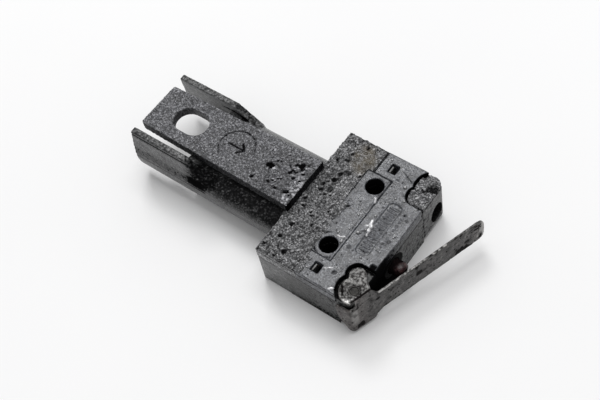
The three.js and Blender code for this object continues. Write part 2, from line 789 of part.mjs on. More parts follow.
add("open_terminal", openTerminal(), springBrass());
add("open_contact", rodX(CONTACT_Y, PLUNGER_Z, CONTACT_R, OPEN_CONTACT_X, 20), silver());

const hinge = new THREE.Group();
hinge.position.set(PIVOT_X, PIVOT_Y, 0);
assembly.add(hinge);
add("hinge_pin", rodZ(0, 0, PIN_R, PIN_Z), pinSteel(), hinge);

const swing = new THREE.Group();
swing.rotation.z = -LEVER_REST;
hinge.add(swing);
add("lever", lever(), leverSteel(), swing);

export default assembly;
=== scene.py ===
"""Limit switch: detailed pieces, materials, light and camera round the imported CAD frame.

Shapes are worked out in millimetres in the CAD frame, and turned into metres when a piece is done.
"""

import itertools
import math
import random

import bmesh
import bpy
import numpy as np
from mathutils import Matrix, Vector


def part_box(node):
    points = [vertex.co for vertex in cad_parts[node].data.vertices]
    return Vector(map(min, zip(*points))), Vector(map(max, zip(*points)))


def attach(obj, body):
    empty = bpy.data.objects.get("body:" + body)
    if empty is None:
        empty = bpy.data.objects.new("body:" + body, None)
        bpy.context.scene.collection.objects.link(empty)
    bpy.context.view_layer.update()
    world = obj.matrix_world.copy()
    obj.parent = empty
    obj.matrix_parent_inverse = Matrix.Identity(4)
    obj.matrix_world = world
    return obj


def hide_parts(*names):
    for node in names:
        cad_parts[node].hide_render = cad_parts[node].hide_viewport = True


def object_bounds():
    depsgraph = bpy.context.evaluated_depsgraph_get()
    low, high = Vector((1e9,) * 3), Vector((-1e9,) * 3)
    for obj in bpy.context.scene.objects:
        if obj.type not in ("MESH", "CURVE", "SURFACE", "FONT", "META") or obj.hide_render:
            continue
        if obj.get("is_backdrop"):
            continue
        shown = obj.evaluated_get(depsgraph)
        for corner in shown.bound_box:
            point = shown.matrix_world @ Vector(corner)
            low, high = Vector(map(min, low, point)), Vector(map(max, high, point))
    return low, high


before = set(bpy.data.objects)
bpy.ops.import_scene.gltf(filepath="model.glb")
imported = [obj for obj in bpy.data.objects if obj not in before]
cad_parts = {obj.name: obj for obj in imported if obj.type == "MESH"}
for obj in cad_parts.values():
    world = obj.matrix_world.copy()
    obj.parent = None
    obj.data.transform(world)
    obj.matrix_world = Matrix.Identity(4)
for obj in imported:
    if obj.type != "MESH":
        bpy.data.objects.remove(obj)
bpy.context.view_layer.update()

MM = 0.001


def box_mm(node):
    low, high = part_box(node)
    return Vector(low) / MM, Vector(high) / MM


# ---------------------------------------------------------------- places taken from the CAD, mm

LID_LOW, LID_HIGH = box_mm("case_cover")
BRIDGE_LOW, BRIDGE_HIGH = box_mm("hole_plate")
BASE_LOW, BASE_HIGH = box_mm("case_base")
PLATE_LOW, PLATE_HIGH = box_mm("mounting_plate")
TAIL_LID_HIGH = box_mm("rear_cover")[1]
PIN_LOW, PIN_HIGH = box_mm("hinge_pin")

TOP = LID_HIGH.z
BASE_TOP = box_mm("cover_gasket")[0].z - 0.03
PIVOT = Vector(((PIN_LOW.x + PIN_HIGH.x) / 2, (PIN_LOW.y + PIN_HIGH.y) / 2, 0))
LEVER_REST = math.radians(18.4)
HOLES = ((0, -4.75), (0, 4.75))
HOLE_R = 1.18
RECESS_FLOOR = 6.4
RECESS_R = 2.25
LOBE_AT = (5.12, 6.2)
LOBE_RECESS_R = 1.45
SLOT = (-24.78, 5.0, 3.6)


# ---------------------------------------------------------------- noise on points, deterministic


def lattice(ix, iy, iz, seed):
    h = (ix * 374761393 + iy * 668265263 + iz * 1442695041 + seed * 1274126177) & 0xFFFFFFFF
    h = ((h ^ (h >> 13)) * 1274126177) & 0xFFFFFFFF
    return ((h ^ (h >> 16)) & 0xFFFFF) / 0xFFFFF


def wave(p, size, seed=0):
    """Smooth noise from -1 to 1, with features of about that size."""
    q = p / size + seed * 17.31
    cell = np.floor(q).astype(np.int64)
    f = q - cell
    f = f * f * (3 - 2 * f)
    total = np.zeros(len(p))
    for d in itertools.product((0, 1), repeat=3):
        w = np.ones(len(p))
        for axis in range(3):
            w = w * (f[:, axis] if d[axis] else 1 - f[:, axis])
        total += w * lattice(cell[:, 0] + d[0], cell[:, 1] + d[1], cell[:, 2] + d[2], seed)
    return total * 2 - 1


def layered(p, size, seed=0, octaves=3):
    return sum(wave(p, size / 2**k, seed + k) / 2**k for k in range(octaves)) / (2 - 2 ** (1 - octaves))


def cells(p, size, seed=0, rise=1.0):
    """Distance to the nearest of scattered points, as a share of their spacing, and its own number.

    rise says how much a difference in height counts.
    """
    weight = np.array((1.0, 1.0, rise))
    q = p / size
    cell = np.floor(q).astype(np.int64)
    best = np.full(len(p), 9.0)
    ident = np.zeros(len(p))
    for d in itertools.product((-1, 0, 1), repeat=3):
        c = cell + np.array(d)
        jitter = np.stack([lattice(c[:, 0], c[:, 1], c[:, 2], seed + k) for k in range(3)], 1)
        gap = np.linalg.norm((c + jitter - q) * weight, axis=1)
        near = gap < best
        best = np.where(near, gap, best)
        ident = np.where(near, lattice(c[:, 0], c[:, 1], c[:, 2], seed + 7), ident)
    return best, ident


def flat(p, z=0.0):
    """The same points with one height, so that noise runs straight down a wall."""
    q = p.copy()
    q[:, 2] = z
    return q


def ramp(x, low, high):
    t = np.clip((x - low) / (high - low), 0, 1)
    return t * t * (3 - 2 * t)


def band(x, centre, half, soft=0.05):
    return 1 - ramp(np.abs(x - centre), half, half + soft)


def spot(p, x, y, rx, ry=None, turn=0.0, soft=0.35):
    """1 inside an ellipse in X and Y, falling to 0 outside it."""
    ry = ry or rx
    c, s = math.cos(turn), math.sin(turn)
    dx, dy = p[:, 0] - x, p[:, 1] - y
    d = np.hypot((dx * c + dy * s) / rx, (dy * c - dx * s) / ry)
    return 1 - ramp(d, 1 - soft, 1 + soft)


def capsule(x, y, a, b):
    """Distance in X and Y from the segment a-b."""
    ax, ay = a
    dx, dy = b[0] - ax, b[1] - ay
    t = np.clip(((x - ax) * dx + (y - ay) * dy) / (dx * dx + dy * dy), 0, 1)
    return np.hypot(x - ax - t * dx, y - ay - t * dy)


def rounded_box(x, y, low, high, r):
    """Signed distance from a rectangle with round corners."""
    cx, cy = (low[0] + high[0]) / 2, (low[1] + high[1]) / 2
    qx = np.abs(x - cx) - (high[0] - low[0]) / 2 + r
    qy = np.abs(y - cy) - (high[1] - low[1]) / 2 + r
    outside = np.hypot(np.maximum(qx, 0), np.maximum(qy, 0))
    return outside + np.minimum(np.maximum(qx, qy), 0) - r


def recess_edge(p):
    """Signed distance from the walls of the hinge recesses, negative inside them."""
    x, y = p[:, 0], np.abs(p[:, 1])
    round_end = np.hypot(x - PIVOT.x, y + PIVOT.y) - RECESS_R
    lobe = np.hypot(x - LOBE_AT[0], y - LOBE_AT[1]) - LOBE_RECESS_R
    mouth = np.maximum(LOBE_AT[0] - x, LOBE_AT[1] - LOBE_RECESS_R - y)
    return np.minimum(np.minimum(round_end, lobe), mouth)


# ---------------------------------------------------------------- meshes


def add_object(name, mesh):
    obj = bpy.data.objects.new(name, mesh)
    bpy.context.scene.collection.objects.link(obj)
    return obj


def cad_copy(node, name):
    """A copy of a CAD node in millimetres, with its flat faces joined up."""
    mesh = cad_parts[node].data.copy()
    mesh.transform(Matrix.Scale(1 / MM, 4))
    mesh.materials.clear()
    bm = bmesh.new()
    bm.from_mesh(mesh)
    bmesh.ops.remove_doubles(bm, verts=bm.verts, dist=1e-3)
    bmesh.ops.dissolve_limit(bm, angle_limit=math.radians(1), verts=bm.verts, edges=bm.edges)
    bm.to_mesh(mesh)
    bm.free()
    return add_object(name, mesh)


def settle(obj):
    """Applies the modifiers."""
    graph = bpy.context.evaluated_depsgraph_get()
    mesh = bpy.data.meshes.new_from_object(obj.evaluated_get(graph))
    obj.modifiers.clear()
    obj.data = mesh


def remesh(obj, voxel):
    modifier = obj.modifiers.new("even", "REMESH")
    modifier.mode = "VOXEL"
    modifier.voxel_size = voxel
    modifier.use_smooth_shade = True
    settle(obj)


def soften(obj, turns, factor=0.5):
    modifier = obj.modifiers.new("soft", "SMOOTH")
    modifier.iterations = turns
    modifier.factor = factor
    settle(obj)


def points_of(mesh):
    p = np.zeros(len(mesh.vertices) * 3, np.float32)
    mesh.vertices.foreach_get("co", p)
    return p.reshape(-1, 3).astype(float)


def normals_of(mesh):
    n = np.zeros(len(mesh.vertices) * 3, np.float32)
    mesh.vertex_normals.foreach_get("vector", n)
    return n.reshape(-1, 3).astype(float)


def shape_points(obj, change):
    """Moves the vertices: change takes and returns the points."""
    p = change(points_of(obj.data))
    obj.data.vertices.foreach_set("co", p.astype(np.float32).ravel())
    obj.data.update()


def store_marks(mesh, marks):
    """Stores the marks that the materials read, one value for each vertex."""
    # The dirt mark holds grime and painted shade; the pale mark holds wear and painted highlights.
    for mark in ("dirt_and_shade", "pale", "wet", "rust"):
        values = np.clip(marks.get(mark, np.zeros(len(mesh.vertices))), 0, 1).astype(np.float32)
        mesh.attributes.new(mark, "FLOAT", "POINT").data.foreach_set("value", values)


def carve(obj, relief):
    """Moves each vertex along its normal by relief's offset, and stores its marks."""
    mesh = obj.data
    p, n = points_of(mesh), normals_of(mesh)
    offset, marks = relief(p, n)
    moved = p + n * np.asarray(offset)[:, None]
    mesh.vertices.foreach_set("co", moved.astype(np.float32).ravel())
    store_marks(mesh, marks)
    mesh.update()


def settle_piece(obj, body, material, replaces=()):
    """Turns a finished shape into metres, and gives it its finish and its body."""
    obj.data.transform(Matrix.Scale(MM, 4))
    obj.data.materials.clear()
    obj.data.materials.append(material)
    for face in obj.data.polygons:
        face.use_smooth = True
    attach(obj, body)
    if replaces:
        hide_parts(*replaces)
    return obj


# ---------------------------------------------------------------- materials


class Nodes:
    """Short calls for building one material's node tree."""

    def __init__(self, name):
        self.material = bpy.data.materials.new(name)
        self.material.use_nodes = True
        self.tree = self.material.node_tree
        self.shader = self.tree.nodes["Principled BSDF"]
        self.place = self.add("ShaderNodeTexCoord").outputs["Object"]

    def add(self, kind, **settings):
        node = self.tree.nodes.new(kind)
        for key, value in settings.items():
            setattr(node, key, value)
        return node

    def link(self, source, target):
        self.tree.links.new(source, target)

    def noise(self, size_mm, detail=4.0, rough=0.6, distortion=0.0):
        node = self.add("ShaderNodeTexNoise")
        self.link(self.place, node.inputs["Vector"])
        node.inputs["Scale"].default_value = 1 / (size_mm * MM)
        node.inputs["Detail"].default_value = detail
        node.inputs["Roughness"].default_value = rough
        node.inputs["Distortion"].default_value = distortion
        return node.outputs["Fac"]

    def grains(self, size_mm):
        node = self.add("ShaderNodeTexVoronoi")
        self.link(self.place, node.inputs["Vector"])
        node.inputs["Scale"].default_value = 1 / (size_mm * MM)
        return node.outputs["Distance"]

    def mark(self, name):
        return self.add("ShaderNodeAttribute", attribute_name=name).outputs["Fac"]

    def spread(self, value, low, high, to_low=0.0, to_high=1.0):
        node = self.add("ShaderNodeMapRange")
        self.link(value, node.inputs["Value"])
        for key, number in zip(("From Min", "From Max", "To Min", "To Max"), (low, high, to_low, to_high)):
            node.inputs[key].default_value = number
        return node.outputs["Result"]

    def times(self, a, b):
        node = self.add("ShaderNodeMath", operation="MULTIPLY")
        for socket, value in zip(node.inputs, (a, b)):
            if isinstance(value, (int, float)):
                socket.default_value = value
            else:
                self.link(value, socket)
        return node.outputs[0]

    def ramp(self, value, *stops):
        node = self.add("ShaderNodeValToRGB")
        self.link(value, node.inputs["Fac"])
        elements = node.color_ramp.elements
        while len(elements) < len(stops):
            elements.new(0.5)
        for element, (position, colour) in zip(elements, stops):
            element.position = position
            element.color = (*colour, 1)
        return node.outputs["Color"]

    def blend(self, share, a, b):
        node = self.add("ShaderNodeMix", data_type="RGBA")
        self.link(share, node.inputs["Factor"])
        for socket, value in ((node.inputs[6], a), (node.inputs[7], b)):
            if isinstance(value, tuple):
                socket.default_value = (*value, 1)
            else:
                self.link(value, socket)
        return node.outputs[2]

    def mix_value(self, share, a, b):
        node = self.add("ShaderNodeMix", data_type="FLOAT")
        self.link(share, node.inputs["Factor"])
        for socket, value in ((node.inputs[2], a), (node.inputs[3], b)):
            if isinstance(value, (int, float)):
                socket.default_value = value
            else:
                self.link(value, socket)
        return node.outputs[0]

    def bump(self, height, strength, depth_mm, under=None):
        node = self.add("ShaderNodeBump")
        node.inputs["Strength"].default_value = strength
        node.inputs["Distance"].default_value = depth_mm * MM
        self.link(height, node.inputs["Height"])
        if under is not None:
            self.link(under, node.inputs["Normal"])
        return node.outputs["Normal"]

    def done(self, colour, roughness, normal, metallic=0.0, coat=0.0, specular=0.5):
        """Plugs in the finished values; specular may be a number or a socket."""
        shader = self.shader
        self.link(colour, shader.inputs["Base Color"])
        self.link(roughness, shader.inputs["Roughness"])
        self.link(normal, shader.inputs["Normal"])
        shader.inputs["Metallic"].default_value = metallic
        shader.inputs["Coat Weight"].default_value = coat
        shader.inputs["Coat Roughness"].default_value = 0.2
        if isinstance(specular, float):
            shader.inputs["Specular IOR Level"].default_value = specular
        else:
            self.link(specular, shader.inputs["Specular IOR Level"])
        return self.material


# Near black, for grime and for painted shade.
BLACK_GRIME_AND_SHADE = (0.004, 0.004, 0.0042)


def soiled_plastic(name, dark, mid, light, pale, rough, patch_mm, grain_mm, grain_depth, specks, harsh=0.0):
    """Moulded plastic with grime and painted shade in its hollows, pale grains that are partly wear and
    partly painted glints, and wet patches.

    rough is the lowest and highest roughness, specks how strong the pale grains (wear and painted glints)
    are, and harsh how sharp.
    """
    m = Nodes(name)
    patches = m.noise(patch_mm, 5.0, 0.62)
    colour = m.ramp(patches, (0.3, dark), (0.5, mid), (0.7, light))
    grain = m.noise(grain_mm, 3.0, 0.7)
    fine = m.grains(grain_mm * 1.3)
    # Pale grains: wear and painted glints.
    colour = m.blend(m.spread(grain, 0.54 - harsh, 0.68 - 2 * harsh, 0, specks), colour, pale)
    colour = m.blend(m.spread(grain, 0.46 + harsh / 2, 0.35 + 2 * harsh, 0, 0.75), colour, BLACK_GRIME_AND_SHADE)
    colour = m.blend(m.mark("rust"), colour, (0.11, 0.085, 0.045))
    # Pale mark: wear, pale crumbs and painted highlights; dirt mark: grime and painted shade.
    colour = m.blend(m.mark("pale"), colour, pale)
    colour = m.blend(m.mark("dirt_and_shade"), colour, BLACK_GRIME_AND_SHADE)
    roughness = m.spread(m.noise(grain_mm * 3, 3.0), 0.3, 0.7, rough[0], rough[1])
    roughness = m.mix_value(m.mark("wet"), roughness, 0.16)
    roughness = m.mix_value(m.mark("dirt_and_shade"), roughness, 0.5)
    normal = m.bump(grain, 1.0, grain_depth)
    normal = m.bump(fine, 1.0, grain_depth * 0.8, normal)
    return m.done(colour, roughness, normal, specular=m.spread(m.mark("dirt_and_shade"), 0.25, 0.85, 0.8, 0.0))


def lever_steel():
    m = Nodes("lever_steel_tarnished")
    colour = m.ramp(
        m.noise(0.8, 6.0, 0.7),
        (0.34, (0.016, 0.016, 0.016)),
        (0.5, (0.052, 0.051, 0.05)),
        (0.64, (0.13, 0.127, 0.124)),
    )
    grain = m.noise(0.13, 3.0, 0.7)
    colour = m.blend(m.spread(grain, 0.48, 0.37, 0, 0.9), colour, (0.012, 0.011, 0.011))
    colour = m.blend(m.spread(grain, 0.58, 0.7, 0, 0.5), colour, (0.4, 0.38, 0.36))
    colour = m.blend(m.times(m.mark("rust"), m.spread(grain, 0.35, 0.6)), colour, (0.17, 0.145, 0.138))
    # Pale mark: wear and painted highlights; dirt mark: grime and painted shade.
    colour = m.blend(m.mark("pale"), colour, (0.58, 0.57, 0.555))
    colour = m.blend(m.mark("dirt_and_shade"), colour, (0.006, 0.005, 0.005))
    roughness = m.spread(m.noise(0.5, 3.0), 0.3, 0.7, 0.4, 0.62)
    roughness = m.mix_value(m.mark("wet"), roughness, 0.25)
    normal = m.bump(grain, 0.9, 0.04)
    specular = m.spread(m.mark("dirt_and_shade"), 0.25, 0.85, 0.6, 0.0)
    return m.done(colour, roughness, normal, metallic=0.35, specular=specular)


def metal(name, dark, light, rough, line_mm=0.2):
    """Bare metal with fine lines and dull patches."""
    m = Nodes(name)
    colour = m.ramp(m.noise(line_mm * 4, 5.0), (0.35, dark), (0.65, light))
    fine = m.noise(line_mm, 3.0)
    colour = m.blend(m.spread(fine, 0.45, 0.3, 0, 0.5), colour, tuple(c * 0.4 for c in dark))
    roughness = m.spread(fine, 0.3, 0.7, rough[0], rough[1])
    return m.done(colour, roughness, m.bump(fine, 0.4, 0.01), metallic=1.0)


def dull_black(name, light, specular):
    """Matt black rubber, or plastic blackened by grime and painted shade; light is its lightest shade."""
    m = Nodes(name)
    colour = m.ramp(m.noise(1.2, 5.0), (0.35, tuple(c * 0.3 for c in light)), (0.65, light))
    fine = m.noise(0.12, 3.0)
    colour = m.blend(m.spread(fine, 0.64, 0.78, 0, 0.5), colour, tuple(c * 4.3 for c in light))
    return m.done(colour, m.spread(fine, 0.3, 0.7, 0.55, 0.85), m.bump(fine, 0.6, 0.02), specular=specular)


def resin():
    m = Nodes("potting_resin")
    colour = m.ramp(m.noise(1.6, 4.0), (0.35, (0.008, 0.008, 0.01)), (0.65, (0.022, 0.022, 0.026)))
    fine = m.noise(0.4, 4.0)
    return m.done(colour, m.spread(fine, 0.3, 0.7, 0.12, 0.3), m.bump(fine, 0.3, 0.02), coat=0.4)


def plunger_gloss():
    m = Nodes("plunger_maroon")
    colour = m.ramp(m.noise(0.8, 5.0), (0.32, (0.014, 0.006, 0.007)), (0.68, (0.075, 0.026, 0.03)))
    fine = m.noise(0.1, 3.0)
    colour = m.blend(m.spread(fine, 0.58, 0.7, 0, 0.6), colour, (0.3, 0.24, 0.2))
    # Dirt mark: grime and painted shade.
    colour = m.blend(m.mark("dirt_and_shade"), colour, BLACK_GRIME_AND_SHADE)
    specular = m.spread(m.mark("dirt_and_shade"), 0.25, 0.85, 0.5, 0.0)
    return m.done(colour, m.spread(fine, 0.3, 0.7, 0.28, 0.5), m.bump(fine, 0.6, 0.03), specular=specular)


def grease(name, dark, light, rough):
    """A glossy oily film or drop; on the drops the marks paint a shade rim and a highlight."""
    m = Nodes(name)
    colour = m.ramp(m.noise(0.35, 5.0), (0.35, dark), (0.65, light))
    fine = m.noise(0.09, 3.0)
    # Painted shade rim and painted highlight on the drops.
    colour = m.blend(m.mark("dirt_and_shade"), colour, BLACK_GRIME_AND_SHADE)
    colour = m.blend(m.mark("pale"), colour, (0.85, 0.85, 0.86))
    roughness = m.spread(fine, 0.3, 0.7, rough[0], rough[1])
    return m.done(colour, roughness, m.bump(fine, 0.4, 0.02), coat=0.6, specular=0.9)


CASE_LOOK = soiled_plastic(
    "case_satin",
    dark=(0.018, 0.02, 0.026), mid=(0.045, 0.048, 0.057), light=(0.086, 0.09, 0.101),
    pale=(0.34, 0.35, 0.38), rough=(0.26, 0.42), patch_mm=1.1,
    grain_mm=0.22, grain_depth=0.05, specks=0.55, harsh=0.008,
)
# The case plastic made darker for the shell's side walls, as painted shade.
SHADED_SHELL_LOOK = soiled_plastic(
    "shaded_shell_satin",
    dark=(0.012, 0.013, 0.013), mid=(0.026, 0.027, 0.026), light=(0.046, 0.047, 0.046),
    pale=(0.26, 0.26, 0.26), rough=(0.34, 0.5), patch_mm=1.2,
    grain_mm=0.22, grain_depth=0.05, specks=0.5, harsh=0.008,
)
GRIT_LOOK = soiled_plastic(
    "gritty_plastic",
    dark=(0.024, 0.025, 0.029), mid=(0.058, 0.059, 0.066), light=(0.104, 0.106, 0.118),
    pale=(0.68, 0.68, 0.72), rough=(0.2, 0.44), patch_mm=0.8,
    grain_mm=0.2, grain_depth=0.16, specks=0.48, harsh=0.024,
)
CAKED_LOOK = soiled_plastic(
    "caked_grit",
    dark=(0.03, 0.031, 0.033), mid=(0.078, 0.079, 0.083), light=(0.148, 0.149, 0.156),
    pale=(0.85, 0.85, 0.87), rough=(0.16, 0.42), patch_mm=0.7,
    grain_mm=0.21, grain_depth=0.18, specks=0.6, harsh=0.024,
)
SLEEVE_LOOK = soiled_plastic(
    "sleeve_satin",
    dark=(0.018, 0.019, 0.02), mid=(0.04, 0.041, 0.042), light=(0.07, 0.071, 0.073),
    pale=(0.4, 0.4, 0.41), rough=(0.3, 0.46), patch_mm=1.1,
    grain_mm=0.26, grain_depth=0.06, specks=0.5,
)
LEVER_LOOK = lever_steel()
PIN_LOOK = metal("pin_steel_dull", (0.006, 0.006, 0.006), (0.04, 0.039, 0.037), (0.35, 0.55), 0.12)
BRASS_LOOK = metal("spring_brass_rolled", (0.42, 0.28, 0.1), (0.62, 0.45, 0.2), (0.2, 0.38))
SILVER_LOOK = metal("contact_silver_bright", (0.5, 0.5, 0.51), (0.78, 0.78, 0.79), (0.15, 0.3))
RUBBER_LOOK = dull_black("black_rubber", (0.028, 0.027, 0.026), 0.5)
# Near black for the seal retainer: grime and painted shade.
GRIME_AND_SHADE_LOOK = dull_black("grimed_and_shaded_plastic", (0.009, 0.009, 0.009), 0.05)
RESIN_LOOK = resin()
PLUNGER_LOOK = plunger_gloss()
DROP_LOOK = grease("dark_oil_drops", (0.01, 0.01, 0.012), (0.035, 0.035, 0.04), (0.04, 0.09))
SMEAR_LOOK = grease("pale_grease", (0.12, 0.12, 0.125), (0.66, 0.66, 0.68), (0.08, 0.2))


# ---------------------------------------------------------------- relief of each piece

# A relief takes points and normals, and returns how far each point moves outwards and its marks from 0 to 1.
# The whole number in a call for noise, grains, pits or ragged spots is its seed.


def hole_marks(p):
    """Black inside the screw holes, as painted shade."""
    below_top = ramp(-p[:, 2], -TOP + 0.02, -TOP + 0.3)
    inside = np.min([np.hypot(p[:, 0] - x, p[:, 1] - y) for x, y in HOLES], axis=0) < HOLE_R + 0.06
    return inside * below_top


def pock_marks(p, size, share, seed):
    """Scattered small pits."""
    near, ident = cells(flat(p), size, seed)
    return (ident < share) * (1 - ramp(near, 0.12, 0.3))


PIT_RISE = 0.35
GLINT_SHIFT = (0.1, -0.14, 0.0)


def pitted(p, size, share, seed):
    """Round black pits of mixed sizes, each with a painted highlight crescent on one side."""
    q = flat(p)
    near, ident = cells(q, size, seed, PIT_RISE)
    beside, its_own = cells(q + np.array(GLINT_SHIFT), size, seed, PIT_RISE)
    radius = 0.14 + 0.16 * ident / share
    pit = (ident < share) * (1 - ramp(near, radius, radius + 0.1))
    glint = (its_own < share) * (1 - ramp(beside, 0.14, 0.26)) * (1 - pit)
    return pit, glint


def crumbs(p, size, height, seed, share=0.75):
    """Heaped grains: the height in mm, the hollows between them, which the reliefs darken as grime and
    painted shade, and their peaks, which they lighten as painted highlights.
    """
    near, ident = cells(p, size, seed)
    lump = np.sqrt(np.clip(1 - (near * 1.45) ** 2, 0, 1)) * (0.35 + 0.65 * ident) * (ident < share)
    rough = lump + 0.35 * layered(p, size * 0.45, seed + 11)
    return rough * height, 1 - ramp(rough, 0.0, 0.32), ramp(rough, 0.55, 1.0)


def heap(p, seed):
    """Caked crumbs with round pits: the height in mm, the grime and painted shade in the hollows with black
    pits, and the painted highlights on the peaks and beside the pits.
    """
    big, deep, top = crumbs(p, 0.6, 0.2, seed, 0.6)
    fine, hollow, peak = crumbs(p, 0.33, 0.12, seed + 1)
    pit, glint = pitted(p + layered(p, 0.5, seed + 2)[:, None] * 0.16, 1.05, 0.3, seed + 3)
    dirt_and_shade = np.maximum(deep * 0.25 + hollow * 0.4, pit * 0.97)
    pale = np.maximum(np.maximum(top, peak) * 0.5, glint) * (1 - pit)
    return big + fine - pit * 0.2, dirt_and_shade, pale


def spots(p, rows):
    """Soft spots; a row is x, y, half length, half width and turn."""
    return np.max([spot(p, *row) for row in rows], axis=0)


def ragged_spots(p, rows, seed):
    """Broken-edged spots; a row is x, y, half length, half width and turn."""
    field = np.max([spot(p, x, y, rx * 1.25, ry * 1.25, turn, 0.75) for x, y, rx, ry, turn in rows], axis=0)
    return ramp(field + 0.55 * layered(flat(p), 0.5, seed), 0.42, 0.62)


def upward(n, low=0.6, high=0.85):
    return ramp(n[:, 2], low, high)


def lid_face(p, n):
    """1 on the upper face of the switch's cover, 0 on its walls."""
    return upward(n) * ramp(p[:, 2], TOP - 0.3, TOP - 0.1)


SEAM_Z = TOP - 0.55
SEAM_DEPTH = 0.07
# How dark the seam groove is painted, as shade.
SEAM_SHADE = 0.75


def edge_seam(p):
    """A parting line round the sides of the case."""
    side = ramp(np.abs(p[:, 1]), LID_HIGH.y - 0.25, LID_HIGH.y - 0.1)
    return band(p[:, 2], SEAM_Z, 0.06) * side


PANEL = ((2.9, -3.85), (4.72, 3.95))
PANEL_R = 0.55
PANEL_DEPTH = 0.15
RIB_COUNT = 14
RIB_END_GAP = 0.65
RIB_SIDE_GAP = 0.42


def panel_relief(p):
    """A sunk panel with a row of plain raised ribs: the height in mm, the floor and the rim."""
    x, y = p[:, 0], p[:, 1]
    inside = rounded_box(x, y, *PANEL, PANEL_R)
    sunk = ramp(-inside, -0.03, 0.07)
    first, last = PANEL[0][1] + RIB_END_GAP, PANEL[1][1] - RIB_END_GAP
    left, right = PANEL[0][0] + RIB_SIDE_GAP, PANEL[1][0] - RIB_SIDE_GAP
    rows = [first + (last - first) * k / (RIB_COUNT - 1) for k in range(RIB_COUNT)]
    ribs = np.min([capsule(x, y, (left, at), (right, at)) for at in rows], axis=0)
    raised = 1 - ramp(ribs, 0.08, 0.17)
    rim = band(inside, 0.1, 0.04, 0.06)
    return -sunk * PANEL_DEPTH * (1 - 0.75 * raised) + rim * 0.04, sunk, rim


NOTCH = ((5.75, -4.9), (6.45, -4.2))
SCRATCH = ((1.8, 8.3), (3.5, 7.5))
DASH_X = 5.35
DASH_ROW_MIDDLE = 0.2
DASH_ROW_HALF = 2.9
DASH_PITCH = 0.62


def lid_relief(p, n):
    x, y = p[:, 0], p[:, 1]
    up = lid_face(p, n)
    wall = (1 - upward(n)) * (p[:, 2] < TOP - 0.1)
    panel, sunk, rim = panel_relief(p)
    pocks = pock_marks(p, 0.42, 0.3, 3)
    pit, glint = (mark * (1 - sunk) for mark in pitted(p, 1.1, 0.14, 26))
    scratch = 1 - ramp(capsule(x, y, *SCRATCH), 0.04, 0.1)
    dashes = band(x, DASH_X, 0.1, 0.06) * band(np.abs(y - DASH_ROW_MIDDLE), 0, DASH_ROW_HALF)
    dashes = dashes * (np.sin(y * 2 * math.pi / DASH_PITCH) > -0.1)
    notch_edge = rounded_box(x, y, *NOTCH, 0.08) + 0.05 * wave(p, 0.3, 29)
    notch = 1 - ramp(notch_edge, -0.04, 0.06)
    recess = recess_edge(p + layered(p, 0.5, 12)[:, None] * 0.13)

    swell = wave(flat(p), 2.5, 4) * 0.015 + layered(flat(p), 0.8, 2) * 0.022
    dents = pocks * 0.06 + dashes * 0.06 + scratch * 0.05 + notch * 0.28 + pit * 0.05
    offset = up * (panel + swell - dents)
    offset = offset + (1 - up) * (1 - ramp(recess, 0.0, 0.3)) * layered(p, 0.45, 11) * 0.07
    offset = offset - edge_seam(p) * SEAM_DEPTH

    film = ramp(layered(flat(p), 0.9, 10), 0.1, 0.5) * 0.25
    near_hinge = spot(p, PIVOT.x - 0.6, PIVOT.y + 0.9, 3.4, 3.6) * ramp(wave(p, 0.5, 6), 0, 0.6)
    dirt_and_shade = up * (pocks * 0.8 + scratch * 0.6 + film + near_hinge * 0.35)
    # Painted shade, with grime, on the front edge towards the hinge, between case and lever.
    dirt_and_shade = dirt_and_shade + ramp(x, LID_HIGH.x - 0.22, LID_HIGH.x - 0.05) * (1 - ramp(y, -3.5, 0.5)) * 0.85
    # Painted shade on the walls of the hinge recess and in the notch.
    recess_wall = (1 - ramp(recess, 0.02, 0.12)) * (1 - 0.4 * up)
    rear_seam = up * band(x, LID_LOW.x, 0.12, 0.06) * ramp(y, 5.2, 5.6)
    dirt_and_shade = np.max([dirt_and_shade, recess_wall, rear_seam, notch], axis=0)
    in_panel = sunk * ramp(wave(p, 0.4, 8), 0.1, 0.7)
    dirt_and_shade = dirt_and_shade + edge_seam(p) * SEAM_SHADE + up * (pit * 0.55 + in_panel * 0.25)
    dirt_and_shade = dirt_and_shade + wall * (ramp(wave(p, 0.2, 97), 0.15, 0.45) * 0.45 + ramp(x, 6.45, 6.6) * 0.15)

    wear = ramp(wave(p, 0.3, 5), 0.15, 0.6) * ramp(x, 6.3, 6.6)
    # Painted highlights on the panel's rim and beside the pits.
    rim = rim * ramp(wave(p, 0.8, 7), -0.2, 0.5)
    pale = up * (wear * 0.4 + rim * 0.3 + glint * 0.55 + band(notch_edge, 0.14, 0.04) * 0.4)
    pale = pale + wall * ramp(wave(p, 0.22, 98), 0.3, 0.6) * 0.3
    return offset, {"dirt_and_shade": dirt_and_shade, "pale": pale, "wet": up * ramp(wave(flat(p), 1.4, 9), 0.1, 0.6) * 0.7}


HOLE_RING_R = 1.72


